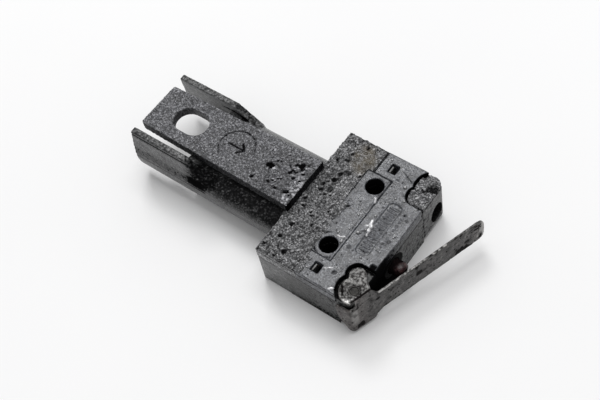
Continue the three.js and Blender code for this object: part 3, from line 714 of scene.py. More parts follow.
def bridge_relief(p, n):
    x, y = p[:, 0], p[:, 1]
    up = lid_face(p, n)
    pocks = pock_marks(p, 0.55, 0.16, 13)
    grit, hollow, peak = crumbs(p, 0.34, 0.1, 15)
    grime = 1 - ramp(x + 0.35 * wave(flat(p), 1.3, 14), -1.7, -0.5)
    grime = grime * (1 - ramp(y, 1.0, 2.4) * 0.9)
    from_hole = np.hypot(x - HOLES[0][0], y - HOLES[0][1])
    ring = band(from_hole, HOLE_RING_R, 0.05, 0.06) * ramp(-x - 0.6 * (y - HOLES[0][1]), -0.7, 0.2)
    rim = band(from_hole, HOLE_R + 0.12, 0.06, 0.06)
    front_line = band(x, BRIDGE_HIGH.x - 0.33, 0.03)
    outline = band(rounded_box(x, y, BRIDGE_LOW, BRIDGE_HIGH, 0.1), 0.0, 0.1, 0.06) * ramp(y, 1.4, 2.2)
    swell = wave(flat(p), 2.2, 16) * 0.012 + layered(flat(p), 0.8, 19) * 0.02
    film = ramp(layered(flat(p), 0.9, 18), 0.1, 0.5) * 0.25
    offset = up * (grit * grime - pocks * 0.05 - ring * 0.09 - front_line * 0.06 + swell)
    # Hollows: grime and painted shade; peaks: painted highlights; holes: painted shade.
    dirt_and_shade = hollow * grime * 0.7 + pocks * 0.8 + ring * 0.7 + front_line * 0.45 + film + up * outline * 0.9
    pale = up * (peak * grime * 0.35 + rim * 0.12)
    wet = up * (1 - grime) * ramp(wave(flat(p), 1.4, 17), 0.0, 0.6) * 0.7
    return offset, {"dirt_and_shade": up * dirt_and_shade + hole_marks(p), "pale": pale, "wet": wet}


CLEAN_PATCHES = ((-2.9, 3.0, 1.3, 1.8, 0.2), (-1.9, 8.4, 0.7, 1.4, 0.0))
THIN_PATCH = (-3.4, 6.9, 1.4, 1.7, 0.3)
BROKEN_OUT = ((-3.9, 4.6, 0.45, 0.3, 0.5), (-4.4, 1.5, 0.35, 0.5, 0.0), (-2.6, -1.0, 0.4, 0.25, 0.0))
STAIN = (-3.3, 7.2, 1.5, 2.1, 0.35)


def tail_lid_relief(p, n):
    x, y, z = p[:, 0], p[:, 1], p[:, 2]
    up = upward(n, 0.35, 0.7) * ramp(z, TOP - 0.4, TOP - 0.15)
    # heap gives grime and painted shade in the hollows, and painted highlights.
    height, dirt_and_shade, pale = heap(p, 21)
    calm = np.maximum(spots(p, CLEAN_PATCHES), spot(p, *THIN_PATCH) * 0.75)
    pit = spots(p, BROKEN_OUT)
    ragged = ramp(np.abs(y), 9.5, 9.75) * ramp(z, TOP - 0.6, TOP - 0.3)
    offset = up * (height * (1 - 0.85 * calm) - pit * 0.25 - 0.06) - edge_seam(p) * SEAM_DEPTH
    offset = offset + ragged * layered(p, 0.3, 23) * 0.06
    front_seam = up * band(x, TAIL_LID_HIGH.x, 0.1, 0.06) * ramp(y, 5.6, 6.0)
    dirt_and_shade = up * np.maximum(dirt_and_shade * (1 - 0.8 * calm), pit * 0.8) + edge_seam(p) * SEAM_SHADE
    dirt_and_shade = np.maximum(dirt_and_shade + ragged * 0.3, front_seam * 0.95)
    pale = up * pale * (1 - 0.8 * calm)
    wet = up * ramp(wave(p, 0.5, 25), -0.2, 0.5)
    stain = up * spot(p, *STAIN) * (0.55 + 0.45 * wave(p, 0.7, 24))
    return offset, {"dirt_and_shade": dirt_and_shade, "pale": pale, "wet": wet, "rust": stain}


RING = (-17.28, -0.05)
RING_R = 2.4
ARROW = (((-1.2, 0), (1.2, 0)), ((1.2, 0), (0.45, 0.75)), ((1.2, 0), (0.45, -0.75)))


def ring_and_arrow(p):
    """An engraved ring, worn away on one side, with a plain arrow in it."""
    x, y = p[:, 0] - RING[0], p[:, 1] - RING[1]
    ring = band(np.hypot(x, y), RING_R, 0.07, 0.07) * (0.8 + 0.3 * wave(p, 0.3, 38))
    arrow = np.min([capsule(x, y, a, b) for a, b in ARROW], axis=0)
    return np.maximum(ring * ramp(-x + y * 1.4, -2.6, -0.6), 1 - ramp(arrow, 0.12, 0.2))


GOUGES = ((-12.0, 0.0, 0.5, 0.3, 0.2), (-8.0, -2.2, 0.35, 0.2, 0.4), (-13.0, -2.5, 0.2, 0.2, 0.0))
CHIPPED = ((-8.7, 1.5, 1.2, 0.8, 0.6), (-13.2, 2.2, 0.5, 0.4, 0.0), (-11.8, -0.2, 0.7, 0.5, 0.0))


def plate_relief(p, n):
    x, y, z = p[:, 0], p[:, 1], p[:, 2]
    up = upward(n, 0.35, 0.7) * ramp(z, PLATE_HIGH.z - 0.3, PLATE_HIGH.z - 0.12)
    toward_case = ramp(x, -15.5, -10.5) * (1 - 0.75 * ramp(y, 1.6, 3.2))
    calm = ramp(y, 2.7, 3.3)
    fine, hollow, peak = crumbs(p, 0.32, 0.075, 31, 0.8)
    coarse, deep, tops = crumbs(p, 0.5, 0.16, 32, 0.45)
    mark = ring_and_arrow(p)
    gouges = ragged_spots(p, GOUGES, 33)
    chipped = spots(p, CHIPPED)
    pit, glint = pitted(p, 0.75, 0.2, 28)
    pit = np.maximum(pit * toward_case, chipped * ramp(wave(p, 0.24, 37), 0.0, 0.2))
    glint = up * (glint * (0.25 + 0.75 * toward_case) + chipped * ramp(wave(p, 0.2, 39), 0.2, 0.4))
    near, ident = cells(p, 0.34, 35)
    lip = ramp(x, PLATE_HIGH.x - 1.4, PLATE_HIGH.x - 0.9) * (1 - ramp(y, -0.6, 1.2))
    lip = lip * ramp(n[:, 2], 0.1, 0.5) * (ident < 0.7) * (1 - ramp(near, 0.35, 0.55))
    slot_wall = (np.abs(x - SLOT[0]) < SLOT[1] / 2 + 0.15) * (np.abs(y) < SLOT[2] / 2 + 0.15) * (1 - up)

    height = fine * (1 - 0.6 * calm) + coarse * toward_case - gouges * 0.3 - mark * 0.13 * (1 - gouges)
    height = height - pit * 0.1 + lip * 0.09 - 0.03
    wall = (1 - up) * ramp(z, PLATE_LOW.z + 1.0, PLATE_LOW.z + 1.3) * (1 - slot_wall)
    offset = up * height + wall * layered(p, 0.35, 34) * 0.05

    # Hollows: grime and painted shade.
    dirt_and_shade = up * (hollow * 0.25 + deep * toward_case * 0.3 + gouges * 0.95 + mark * 0.85 + pit * 0.85)
    # Painted shade on the near side wall and on the front end wall.
    near_wall = ramp(-y, 2.9, 3.2) * (1 - up)
    front_wall = ramp(x, PLATE_HIGH.x - 0.3, PLATE_HIGH.x - 0.1) * (1 - up)
    dirt_and_shade = dirt_and_shade * (1 - 0.5 * calm) + near_wall * 0.75 + front_wall * 0.9 + slot_wall * 0.45
    # Painted highlights on the peaks and tops and at the glints; the lip holds pale crumbs.
    pale = up * (peak * 0.2 + tops * toward_case * 0.4) + lip * 1.6 + glint
    wet = up * ramp(wave(p, 0.4, 36), 0.1, 0.6) * (0.25 + 0.75 * toward_case)
    return offset, {"dirt_and_shade": dirt_and_shade, "pale": pale, "wet": wet}


FLANK = (9.55, 9.7)


def flank_marks(p):
    """Painted shade on the side walls of the housing and the case, darker towards the front, and grime
    flecks, more towards the front.
    """
    x = p[:, 0]
    flank = ramp(np.abs(p[:, 1]), *FLANK)
    shade = ramp(x + 1.2 * wave(p, 1.4, 57), -5.0, 1.0) * 0.34
    flecks = np.maximum(ramp(wave(p, 0.18, 58), 0.2, 0.5) * 0.5, ramp(wave(p, 0.3, 55), 0.2, 0.6) * 0.6)
    return flank * (shade + flecks * ramp(x, -5.0, 4.0) * 0.8)


CHEEK_FRONT = (-19.5, -18.0)
CHEEK_INNER = (4.3, 4.45)
CHEEK_OUTER = (4.95, 5.15)
SLEEVE_REAR = (-22.4, -20.0)
SLEEVE_FRONT = (-7.4, -7.1)
SLEEVE_END = (22.3, 22.45)
UPPER_GROOVE_Z = 8.35
LOWER_GROOVE_Z = 4.55
CHEEK_RIB_Z = 6.6
CHEEK_SHADE_Z = 5.6
CHEEK_STAINS = ((-19.4, 6.9, 1.3, 0.4, -0.3), (-22.0, 7.6, 1.2, 0.16, 0.0))
# Where a painted highlight lies on the far cheek.
CHEEK_SLIT_HIGHLIGHT = ((-19.0, 6.35, 0.8, 0.16, -0.3),)
BORE_Z = 3.3
BORE_R = 2.25


def tail_relief(p, n):
    x, y, z = p[:, 0], p[:, 1], p[:, 2]
    out = np.abs(y)
    from_side = p[:, [0, 2, 1]]
    near_side = 1 - ramp(y, -1.0, 1.0)
    cheek = 1 - ramp(x, *CHEEK_FRONT)
    top = upward(n, 0.3, 0.7) * ramp(z, 5.2, 6.0) * ramp(out, 3.9, 4.4) * (1 - ramp(x, -17.9, -17.0))
    outer = ramp(out, *CHEEK_OUTER) * cheek * (1 - top)
    inner_far = ramp(y, *CHEEK_INNER) * (n[:, 1] < -0.6) * cheek
    sleeve = ramp(x, *SLEEVE_REAR) * (1 - ramp(x, *SLEEVE_FRONT))
    crown = sleeve * ramp(z + 0.5 * layered(p, 1.2, 42), 3.6, 6.0)
    ridge = sleeve * band(z, 1.25, 0.08, 0.15) * ramp(out, 4.0, 4.6)
    grit, hollow, peak = crumbs(p, 0.28, 0.08, 41, 0.7)

    grooves = band(z, UPPER_GROOVE_Z, 0.05, 0.07) * 0.09 + band(z, LOWER_GROOVE_Z, 0.06, 0.08) * 0.07
    offset = top * (grit - 0.02) + outer * (band(z, CHEEK_RIB_Z, 0.3, 0.5) * 0.07 - grooves)
    offset = offset + crown * ramp(-out, -5.1, -4.2) * crumbs(p, 0.26, 0.05, 43)[0] + ridge * 0.07

    flecks = near_side * ramp(wave(p, 0.14, 45), 0.2, 0.5) * band(x, -14.5, 4.5, 3.5)
    below_crown = sleeve * (1 - crown) * ramp(z, 2.4, 4.8)
    # Painted shade under the plate's overhang, darkest on the near side; hollows on the cheek tops: grime
    # and painted shade.
    shade_under_plate = crown * (0.15 + 0.72 * near_side) + below_crown * 0.15 * near_side
    dirt_and_shade = top * hollow * 0.65 + shade_under_plate * (1 - 0.36 * flecks) + flank_marks(p)
    # Painted shade in the cheek grooves and in a band along the cheek, with grime flecks.
    bands = band(z, UPPER_GROOVE_Z, 0.08, 0.06) * 0.9 + band(z, LOWER_GROOVE_Z, 0.07, 0.08) * 0.6
    bands = bands + band(z, CHEEK_SHADE_Z, 0.55, 0.35) * 0.45 + ramp(wave(p, 0.22, 47), 0.3, 0.6) * 0.4
    dirt_and_shade = dirt_and_shade + outer * (bands + 0.06) + inner_far * ragged_spots(from_side, CHEEK_STAINS, 46) * 0.9
    bore = (np.hypot(y, z - BORE_Z) < BORE_R) * (-x < SLEEVE_END[1])
    rear_wall = ramp(-x, *SLEEVE_END) * (1 - ramp(out, 4.4, 4.6))
    # Painted shade in the cable bore and along the bottom; the rear wall darker.
    dirt_and_shade = dirt_and_shade + bore * 0.8 + rear_wall * 0.3 + (1 - ramp(z, 0.1, 1.1)) * 0.5

    # Painted highlights on the peaks, along the lower ridge, in a band on the cheek and at the slit; painted
    # light on the far cheek's inner face.
    pale = top * peak * 0.2 + ridge * 0.25 + flecks * crown * 0.05 + outer * band(z, 7.3, 0.5, 0.3) * 0.05
    pale = pale + inner_far * (0.2 + ragged_spots(from_side, CHEEK_SLIT_HIGHLIGHT, 48) * 0.6)
    wet = crown * 0.8 + top * ramp(wave(p, 0.4, 44), 0.1, 0.6) * 0.5
    return offset, {"dirt_and_shade": dirt_and_shade, "pale": pale, "wet": wet}


FAR_POCKET_YZ = (7.8, 2.65)
FAR_POCKET_RADII = (1.25, 1.7)
UNDER_WINDOW = (0.6, 8.0)
HOOK_X = 0.23


def base_relief(p, n):
    x, y, z = p[:, 0], p[:, 1], p[:, 2]
    up = upward(n)
    side = ramp(np.abs(y), BASE_HIGH.y - 0.2, BASE_HIGH.y - 0.05)
    front = ramp(x, BASE_HIGH.x - 0.2, BASE_HIGH.x - 0.05)
    floor = up * band(z, RECESS_FLOOR, 0.1, 0.1) * ramp(np.abs(y), 4.4, 4.8) * ramp(x, 3.2, 3.5)
    grit, hollow, peak = crumbs(p, 0.3, 0.13, 51, 0.7)
    pocks = pock_marks(p, 0.7, 0.2, 52)
    # Painted shade, with grease, on the front face by the hinge, between case and lever.
    near_hinge = (1 - ramp(y + 0.5 * wave(p, 0.9, 54), -1.6, 0.2)) * front * (y > -9.5)
    from_pocket = [(v - at) / r for v, at, r in zip((y, z), FAR_POCKET_YZ, FAR_POCKET_RADII)]
    pocket = (np.hypot(*from_pocket) < 1) * (x < BASE_HIGH.x - 0.06) * (x > 4.3)
    window = (np.abs(x - UNDER_WINDOW[0]) < 1.2) * (np.abs(np.abs(y) - UNDER_WINDOW[1]) < 0.9)
    window = window * up * (z < 6.5)
    hook = (z > TOP - 0.45) * up * (np.abs(x - HOOK_X) < 0.3)

    # Painted shade inside the holes and the far pocket, in the recess floor's hollows and along its walls,
    # and along the bottom of the walls.
    dirt_and_shade = hole_marks(p) + floor * (0.35 + hollow * 0.4 + ramp(recess_edge(p), -0.5, -0.2))
    dirt_and_shade = dirt_and_shade + flank_marks(p) + near_hinge * 0.97 + pocket * 0.8 + window * 0.8
    dirt_and_shade = dirt_and_shade + (1 - ramp(z, 0.1, 2.0)) * (side * 0.5 + front * 0.2)
    dirt_and_shade = dirt_and_shade + front * (pocks * 0.6 + ramp(wave(p, 0.3, 55), 0.15, 0.5) * 0.7)
    sparks = ramp(wave(p, 0.22, 56), 0.35, 0.6) * (side * 0.3 + front)
    smear = side * ramp(wave(flat(p, 3.0), 2.0, 53), 0.1, 0.8)
    pale = floor * peak * 0.2 + hook * 0.35 + smear * 0.06 + sparks * 0.4
    offset = floor * (grit - 0.05) - (side + front) * pocks * 0.0008
    return offset, {"dirt_and_shade": dirt_and_shade, "pale": pale, "wet": near_hinge * 0.8}


def lever_turn(v):
    """Directions in the lever's own frame: Y along the strip, X out of its outer face."""
    c, s = math.cos(LEVER_REST), math.sin(LEVER_REST)
    return np.stack([v[:, 0] * c - v[:, 1] * s, v[:, 0] * s + v[:, 1] * c, v[:, 2]], 1)


EAR_CRACK = ((-1.5, -0.6), (-0.5, -1.35))
LEVER_CLOTS = ((14.5, 1.75, 0.8, 0.62, -0.3), (-0.6, 1.2, 0.5, 0.4, 0.4))
LEVER_TIP_MARKS = ((16.5, 4.6, 0.9, 0.35, 0.05), (15.5, 3.0, 0.5, 0.4, 0.0))
LEVER_THINNED = 0.06


def lever_relief(p, n):
    q = lever_turn(p - np.array(PIVOT))
    x, y, z = q[:, 0], q[:, 1], q[:, 2]
    from_front = q[:, [1, 2, 0]]
    inner = ramp(-lever_turn(n)[:, 0], 0.3, 0.8)
    ear = upward(n, 0.5, 0.8) * (1 - ramp(x, 0.85, 1.05)) * ramp(z, 6.6, 6.8)
    top_edge = upward(n, 0.4, 0.8) * ramp(x, 0.9, 0.97) * (y > 1.5)
    face = 1 - np.maximum(ear, top_edge)
    near_root = 1 - ramp(y, 8.0, 10.0)
    grit, hollow, peak = crumbs(p, 0.3, 0.13, 61, 0.75)
    dimple = spot(q, 0.0, 0.05, 0.72, 0.6, 0.4, 0.5)
    crack = 1 - ramp(capsule(x, y, *EAR_CRACK), 0.06, 0.16)
    bend = band(x, 0.98, 0.1, 0.12) * (y > -1.3) * (y < 1.6) * ramp(z, 6.5, 6.7)
    near, ident = cells(p, 0.5, 62)
    pit = (ident < 0.3) * (1 - ramp(near, 0.18, 0.34))
    spark = (ident > 0.84) * (1 - ramp(near, 0.1, 0.26))

    ear_height = grit - 0.1 + layered(flat(p), 0.8, 68) * 0.11 - dimple * 0.26 - crack * 0.12
    face_height = layered(p, 0.5, 63) * 0.03 - pit * 0.04
    offset = ear * ear_height + face * face_height + top_edge * layered(p, 0.3, 64) * 0.05 - bend * 0.08
    offset = offset * (1 - inner) - inner * LEVER_THINNED

    # Ear hollows: grime and painted shade; the bend crease: painted shade.
    dirt_and_shade = ear * (hollow * 0.8 + dimple * (0.55 + 0.45 * wave(p, 0.3, 76)) + crack * 0.9) + bend * 0.85
    stains = ramp(wave(p, 0.9, 65), 0.2, 0.8) * 0.65 + ramp(wave(p, 0.45, 75), 0.25, 0.6) * 0.5
    low_edge = (1 - ramp(z, 1.6, 2.1)) * (y > 1.8)
    tip_marks = ragged_spots(from_front, LEVER_TIP_MARKS, 70)
    dirt_and_shade = dirt_and_shade + face * (0.1 + stains + pit * 0.8 + low_edge * 0.25 + tip_marks * 0.45)
    dirt_and_shade = dirt_and_shade + ragged_spots(from_front, LEVER_CLOTS, 69) * 0.97
    dirt_and_shade = dirt_and_shade + top_edge * (1 - near_root) * ramp(wave(p, 0.4, 66), -0.3, 0.3) * 0.7

    # Painted highlights: the glint at the ear's tip, the fold, the top edge and the ear's peaks.
    glint = spot(q, 0.55, -1.5, 0.6, 0.22, 0.5) * upward(n, 0.3, 0.6)
    fold = spot(q, 1.25, -1.15, 0.35, 0.5, 0.5) * ramp(z, 1.2, 3.0)
    worn_tip = ramp(y + 0.5 * wave(p, 0.5, 77), 16.7, 17.6)
    bright_edge = near_root * ramp(wave(p, 0.16, 67), -0.5, 0.3) * 0.55
    bright_edge = bright_edge + (1 - near_root) * ramp(wave(p, 0.3, 78), 0.1, 0.5) * 0.5
    pale = ear * (0.18 + peak * 0.75) + glint * 0.8 + top_edge * bright_edge
    pale = pale + face * (spark * 0.4 + worn_tip * 0.75 + fold * 0.3)
    rust = face * (0.1 + 0.45 * ramp(-y, -1.6, 0.9) + 0.4 * ramp(y, 15.5, 17.0)) * (1 - ear)
    return offset, {"dirt_and_shade": dirt_and_shade, "pale": pale, "wet": ear * 0.6 + glint, "rust": rust}


# ---------------------------------------------------------------- pieces grown from the CAD solids


SAME_PLANE = 0.02
REAR_LAP = 0.25


def dropped_skirt(p):
    """The bottom of a lid is carried down to the shell, so that only the moulded seam shows."""
    p[:, 2] = np.where(np.abs(p[:, 2] - LID_LOW.z) < SAME_PLANE, BASE_TOP + 0.03, p[:, 2])
    return p


CORNER_ROUND = 1.1


def rounded_corner(p):
    """Bends the square front corner at the unused hinge end onto an arc."""
    along_x, along_y = p[:, 0] - BASE_HIGH.x + CORNER_ROUND, p[:, 1] - BASE_HIGH.y + CORNER_ROUND
    inside = (along_x > 0) & (along_y > 0)
    pull = np.maximum(along_x, along_y) / np.maximum(np.hypot(along_x, along_y), 1e-6)
    p[:, 0] = np.where(inside, p[:, 0] + along_x * (pull - 1), p[:, 0])
    p[:, 1] = np.where(inside, p[:, 1] + along_y * (pull - 1), p[:, 1])
    return p


def lapped_rear(p):
    """The rear of the case runs a little way into the housing, so that no joint shows on the sides."""
    p[:, 0] = np.where(np.abs(p[:, 0] - BASE_LOW.x) < SAME_PLANE, BASE_LOW.x - REAR_LAP, p[:, 0])
    return p


def grow(name, node, body, relief, material, voxel, change=None, bend=None, soft=0):
    """A detailed piece in place of a CAD node: change works on its plain corners, bend on the fine mesh."""
    obj = cad_copy(node, name)
    if change:
        shape_points(obj, change)
    remesh(obj, voxel)
    if bend:
        shape_points(obj, bend)
    if soft:
        soften(obj, soft)
    carve(obj, relief)
    return settle_piece(obj, body, material, [node])


grow(
    "base_shell", "case_base", "housing", base_relief, SHADED_SHELL_LOOK,
    voxel=0.115, change=lapped_rear, bend=rounded_corner,
)
grow(
    "case_lid", "case_cover", "housing", lid_relief, CASE_LOOK,
    voxel=0.075, change=dropped_skirt,
)
grow(
    "hole_bridge", "hole_plate", "housing", bridge_relief, CASE_LOOK,
    voxel=0.075, change=dropped_skirt,
)
grow(
    "tail_lid", "rear_cover", "housing", tail_lid_relief, CAKED_LOOK,
    voxel=0.085, change=dropped_skirt,
)
grow("tail_shell", "rear_housing", "housing", tail_relief, SLEEVE_LOOK, voxel=0.135)
grow("slotted_plate", "mounting_plate", "housing", plate_relief, GRIT_LOOK, voxel=0.085)
grow("lever_arm", "lever", "lever", lever_relief, LEVER_LOOK, voxel=0.075, soft=2)

PLUNGER_THINNED = 0.05


def plunger_relief(p, n):
    # Painted shade at the root and on the underside, with patches of grime.
    root = 1 - ramp(p[:, 0] + 0.5 * wave(p, 0.5, 72), 7.2, 8.0)
    under = 1 - ramp(p[:, 2] + 0.5 * wave(p, 0.5, 73), 3.5, 4.3)
    patches = ramp(layered(p, 0.6, 74), -0.15, 0.2) * 0.85
    dirt_and_shade = np.maximum(np.maximum(root, under) * 0.92, patches)
    return wave(p, 0.4, 71) * 0.03 - PLUNGER_THINNED, {"dirt_and_shade": dirt_and_shade}


grow(
    "plunger_button", "plunger", "plunger", plunger_relief, PLUNGER_LOOK,
    voxel=0.08, soft=2,
)


# ---------------------------------------------------------------- grime that lies over the seams

CRUST_STEP = 0.07
CRUST_MIN = 0.02
CRUST_SIDE = 9.72


def crust(name, low, high, floor_z, surface, look=CAKED_LOOK):
    """A closed layer over a rectangle, left out where it is no thicker than CRUST_MIN.

    surface takes points and returns the height of the layer's top and its marks.
    """
    counts = [int((b - a) / CRUST_STEP) + 1 for a, b in zip(low, high)]
    grid = np.meshgrid(*(np.linspace(a, b, n) for a, b, n in zip(low, high, counts)), indexing="ij")
    p = np.stack([grid[0].ravel(), grid[1].ravel(), np.full(grid[0].size, TOP)], 1)
    z, marks = surface(p)
    p = rounded_corner(p)
    top, bottom = p.copy(), p.copy()
    top[:, 2], bottom[:, 2] = np.maximum(z, floor_z + CRUST_MIN), floor_z
    index = np.arange(len(p)).reshape(counts)
    corners = (index[:-1, :-1], index[1:, :-1], index[1:, 1:], index[:-1, 1:])
    quads = np.stack([corner.ravel() for corner in corners], 1)
    quads = quads[(z > floor_z + CRUST_MIN)[quads].any(1)]
    start, end = quads.ravel(), np.roll(quads, -1, axis=1).ravel()
    rim = ~np.isin(end * len(p) + start, start * len(p) + end)
    start, end = start[rim], end[rim]
    skirt = np.stack([end, start, start + len(p), end + len(p)], 1)
    faces = np.concatenate([quads, quads[:, ::-1] + len(p), skirt])
    used, faces = np.unique(faces, return_inverse=True)
    mesh = bpy.data.meshes.new(name)
    mesh.from_pydata(np.concatenate([top, bottom])[used].tolist(), [], faces.reshape(-1, 4).tolist())
    store_marks(mesh, {mark: np.tile(values, 2)[used] for mark, values in marks.items()})
    mesh.update()
    return settle_piece(add_object(name, mesh), "housing", look)


def seam_grime(edge, far):
    """Crumbs that cover the lids up to about x = edge and y = far."""

    def surface(p):
        x, y = p[:, 0], p[:, 1]
        amount = 1 - ramp(x + 0.3 * layered(p, 0.9, 81), edge - 0.2, edge + 0.2)
        amount = amount * (1 - ramp(y + 0.5 * layered(p, 1.1, 82), far - 0.4, far + 0.4))
        amount = amount * ramp(x, -3.3, -2.7)
        # heap gives grime and painted shade in the hollows, and painted highlights.
        crumbled, dirt_and_shade, pale = heap(p, 83)
        z = TOP - 0.2 + amount * (0.26 + crumbled)
        return z, {"dirt_and_shade": dirt_and_shade, "pale": pale, "wet": ramp(wave(p, 0.5, 85), -0.2, 0.5)}

    return surface


RECESS_PITS = ((5.95, 8.05, 0.6, 0.42, 0.7), (5.25, 7.25, 0.4, 0.16, -0.5), (6.35, 5.0, 0.4, 0.16, 0.0))


def recess_grime(p):
    """Crumbs in the unused hinge recess, with a black pit over its pivot as painted shade in its hole, and
    painted shade along the walls.
    """
    pit = ragged_spots(p, RECESS_PITS, 91)
    crumbled, dirt_and_shade, pale = heap(p, 90)
    # Painted shade along the recess walls.
    wall = ramp(recess_edge(p + layered(p, 0.6, 94)[:, None] * 0.16), -0.3, -0.12)
    z = RECESS_FLOOR + 0.35 + crumbled + 0.1 * layered(p, 1.4, 95) - pit * 0.4 - wall * 0.3
    dirt_and_shade = dirt_and_shade * 0.2 + pit * 0.8 + wall
    return z, {"dirt_and_shade": dirt_and_shade, "pale": pale * (1 - pit), "wet": ramp(wave(p, 0.5, 96), 0, 0.5)}


crust("seam_grime_rear", (-3.3, -CRUST_SIDE), (-1.24, 1.9), TOP - 0.3, seam_grime(edge=-1.3, far=1.0))
crust("seam_grime_near", (-1.3, -CRUST_SIDE), (-0.1, -6.5), TOP - 0.3, seam_grime(edge=-0.5, far=-7.0))
crust("recess_grime_far", (3.75, 4.85), (6.6, CRUST_SIDE), RECESS_FLOOR - 0.2, recess_grime)


# ---------------------------------------------------------------- drops and smears

LUMPY = 0.12
# The side of each drop that gets the painted highlight.
GLINT_SIDE = np.array((-0.3, 0.45, 0.84))


def drop_marks(p, n):
    """A painted highlight on each drop, towards one side, and a painted shade rim round its foot."""
    pale = ramp(n @ GLINT_SIDE, 0.84, 0.95) * 0.75
    return np.zeros(len(p)), {"pale": pale, "dirt_and_shade": 1 - ramp(n[:, 2], 0.25, 0.6)}


def blob(bm, centre, radii, turn, seed):
    made = bmesh.ops.create_icosphere(bm, subdivisions=2, radius=1)
    spin = Matrix.Rotation(turn, 3, "Z")
    for vertex in made["verts"]:
        p = np.array([list(vertex.co * 1.7)])
        swell = 1 + LUMPY * float(layered(p + seed * 3.7, 1.0, seed)[0])
        at = Vector([c * r for c, r in zip(vertex.co, radii)]) * swell
        vertex.co = spin @ at + Vector(centre)


def blobs(name, rows, material):
    """One object made of many flattened blobs; a row is x, y, z, length, width, height, turn."""
    bm = bmesh.new()
    for k, (x, y, z, length, width, height, turn) in enumerate(rows):
        blob(bm, (x, y, z), (length, width, height), turn, 100 + k)
    mesh = bpy.data.meshes.new(name)
    bm.to_mesh(mesh)
    bm.free()
    obj = add_object(name, mesh)
    carve(obj, drop_marks)
    return settle_piece(obj, "housing", material)


# x, y, radius
BIG_DROPS = ((3.22, 6.42, 0.24), (2.03, -1.68, 0.27), (1.04, -3.73, 0.2), (4.21, 4.71, 0.2))
DROP_COUNT = 60
WINDOW = (0.58, 8.0)


def scattered_drops():
    """Small drops at random over the clean part of the cover, clear of its holes, windows and panel."""
    draw = random.Random(11)
    rows = []
    for _ in range(DROP_COUNT):
        x, y, r = draw.uniform(-0.6, 6.2), draw.uniform(-8.9, 9.3), draw.uniform(0.09, 0.19)
        p = np.array([[x, y, TOP]])
        in_panel = rounded_box(p[:, 0], p[:, 1], *PANEL, PANEL_R)[0] < 0.2
        in_window = abs(x - WINDOW[0]) < 0.85 and abs(abs(y) - WINDOW[1]) < 0.9
        in_hole = math.hypot(x, abs(y) - HOLES[1][1]) < HOLE_R + 0.3
        if not (in_panel or in_window or in_hole or recess_edge(p)[0] < 0.3):
            rows.append((x, y, r))
    return rows


drops = enumerate((*BIG_DROPS, *scattered_drops()))
blobs(
    "oil_drops",
    [(x, y, TOP - 0.01, r, r * 0.9, r * 0.6, 0.4 * k) for k, (x, y, r) in drops],
    DROP_LOOK,
)

# x, y, half length, half width, turn
SMEARS = (
    (2.55, 0.45, 0.28, 0.15, -1.3),
    (2.75, -0.05, 0.3, 0.24, -1.2),
    (2.35, -0.3, 0.24, 0.12, 0.3),
    (2.85, -0.7, 0.34, 0.19, -1.25),
    (3.0, -1.3, 0.2, 0.1, -1.0),
    (0.35, -3.2, 0.34, 0.1, -0.2),
    (0.8, -3.05, 0.3, 0.1, 0.6),
    (0.95, -3.5, 0.2, 0.09, -0.9),
    (1.5, -7.5, 0.24, 0.09, 0.3),
    (1.95, -7.2, 0.32, 0.11, 0.5),
    (3.55, -9.35, 0.26, 0.14, 0.6),
    (1.0, 3.35, 0.18, 0.08, 0.6),
    (1.25, 3.0, 0.24, 0.1, -1.2),
    (0.75, 2.2, 0.1, 0.08, 0.0),
)


def smear_film(p):
    """Thin pale grease, low enough between the smears to be left out."""
    amount = ragged_spots(p, SMEARS, 121)
    return TOP - 0.08 + amount * (0.16 + 0.08 * layered(p, 0.3, 122)), {}


crust("grease_smears", (-0.2, -9.6), (4.2, 3.9), TOP - 0.09, smear_film, SMEAR_LOOK)


# ---------------------------------------------------------------- CAD nodes that keep their shape

KEPT = {
    "cover_gasket": RUBBER_LOOK,
    "plunger_seal": RUBBER_LOOK,
    "cable_grommet": RUBBER_LOOK,
    "seal_retainer": GRIME_AND_SHADE_LOOK,
    "potting_block": RESIN_LOOK,
    "snap_blade": BRASS_LOOK,
    "toggle_spring": BRASS_LOOK,
    "blade_anchor": BRASS_LOOK,
    "common_terminal": BRASS_LOOK,
    "closed_terminal": BRASS_LOOK,
    "open_terminal": BRASS_LOOK,
    "moving_contact": SILVER_LOOK,
    "closed_contact": SILVER_LOOK,
    "open_contact": SILVER_LOOK,
    "hinge_pin": PIN_LOOK,
}
for node_name, look in KEPT.items():
    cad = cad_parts[node_name]
    cad.data.materials.clear()
    cad.data.materials.append(look)


# ---------------------------------------------------------------- camera

CAMERA_AT = (0.047147, -0.049253, 0.113942)
CAMERA_RIGHT = (0.79516, 0.59096, -0.13597)
CAMERA_UP = (-0.44011, 0.71667, 0.54101)
CAMERA_BACK = (0.41716, -0.37035, 0.82995)
CAMERA_LENS = 64.34
SENSOR_WIDTH = 36.0

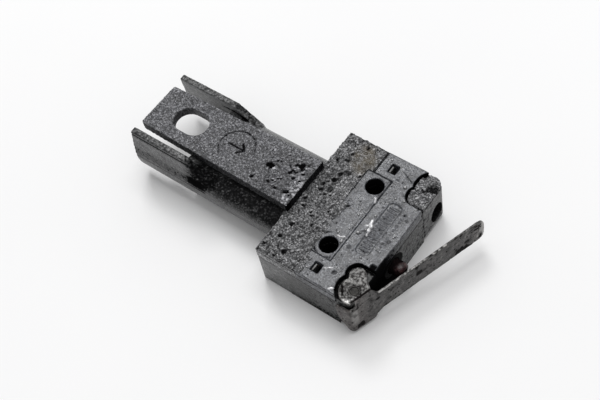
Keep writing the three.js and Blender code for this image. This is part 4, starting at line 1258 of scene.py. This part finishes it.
camera_data = bpy.data.cameras.new("camera")
camera_data.lens = CAMERA_LENS
camera_data.sensor_width = SENSOR_WIDTH
camera_data.sensor_fit = "HORIZONTAL"
camera_data.clip_start = 0.005
camera_data.clip_end = 5.0
camera = add_object("camera", camera_data)
turned = Matrix((CAMERA_RIGHT, CAMERA_UP, CAMERA_BACK)).transposed().to_4x4()
camera.matrix_world = Matrix.Translation(CAMERA_AT) @ turned
bpy.context.scene.camera = camera


# ---------------------------------------------------------------- floor and light


FLOOR_HALF = 1.5
FLOOR_GAP = 0.00001
AIM = (-0.008, 0, 0)


def floor():
    bm = bmesh.new()
    bmesh.ops.create_grid(bm, x_segments=4, y_segments=4, size=FLOOR_HALF)
    mesh = bpy.data.meshes.new("floor")
    bm.to_mesh(mesh)
    bm.free()
    obj = add_object("floor", mesh)
    obj.location.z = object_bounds()[0][2] - FLOOR_GAP
    m = Nodes("floor_paper")
    colour = m.ramp(m.noise(60.0, 2.0), (0.3, (0.89, 0.89, 0.893)), (0.7, (0.91, 0.91, 0.913)))
    roughness = m.spread(m.noise(2.0), 0.3, 0.7, 0.8, 0.9)
    m.done(colour, roughness, m.bump(m.noise(1.0), 0.05, 0.01), specular=0.2)
    mesh.materials.append(m.material)
    obj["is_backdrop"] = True


def softbox(name, at, size, power):
    data = bpy.data.lights.new(name, "AREA")
    data.shape = "RECTANGLE"
    data.size, data.size_y = size
    data.energy = power
    obj = add_object(name, data)
    aim = Vector(AIM) - Vector(at)
    obj.matrix_world = Matrix.Translation(at) @ aim.to_track_quat("-Z", "Y").to_matrix().to_4x4()


floor()
softbox("overhead", (-0.008, 0.16, 0.80), (0.46, 0.42), 2.6)
softbox("sheen", (-0.42, 0.365, 0.73), (0.30, 0.27), 2.1)

world = bpy.data.worlds.new("studio")
world.use_nodes = True
world.node_tree.nodes["Background"].inputs["Color"].default_value = (1, 1, 1, 1)
world.node_tree.nodes["Background"].inputs["Strength"].default_value = 0.52
bpy.context.scene.world = world
bpy.context.scene.view_settings.view_transform = "Standard"
bpy.context.scene.view_settings.look = "None"
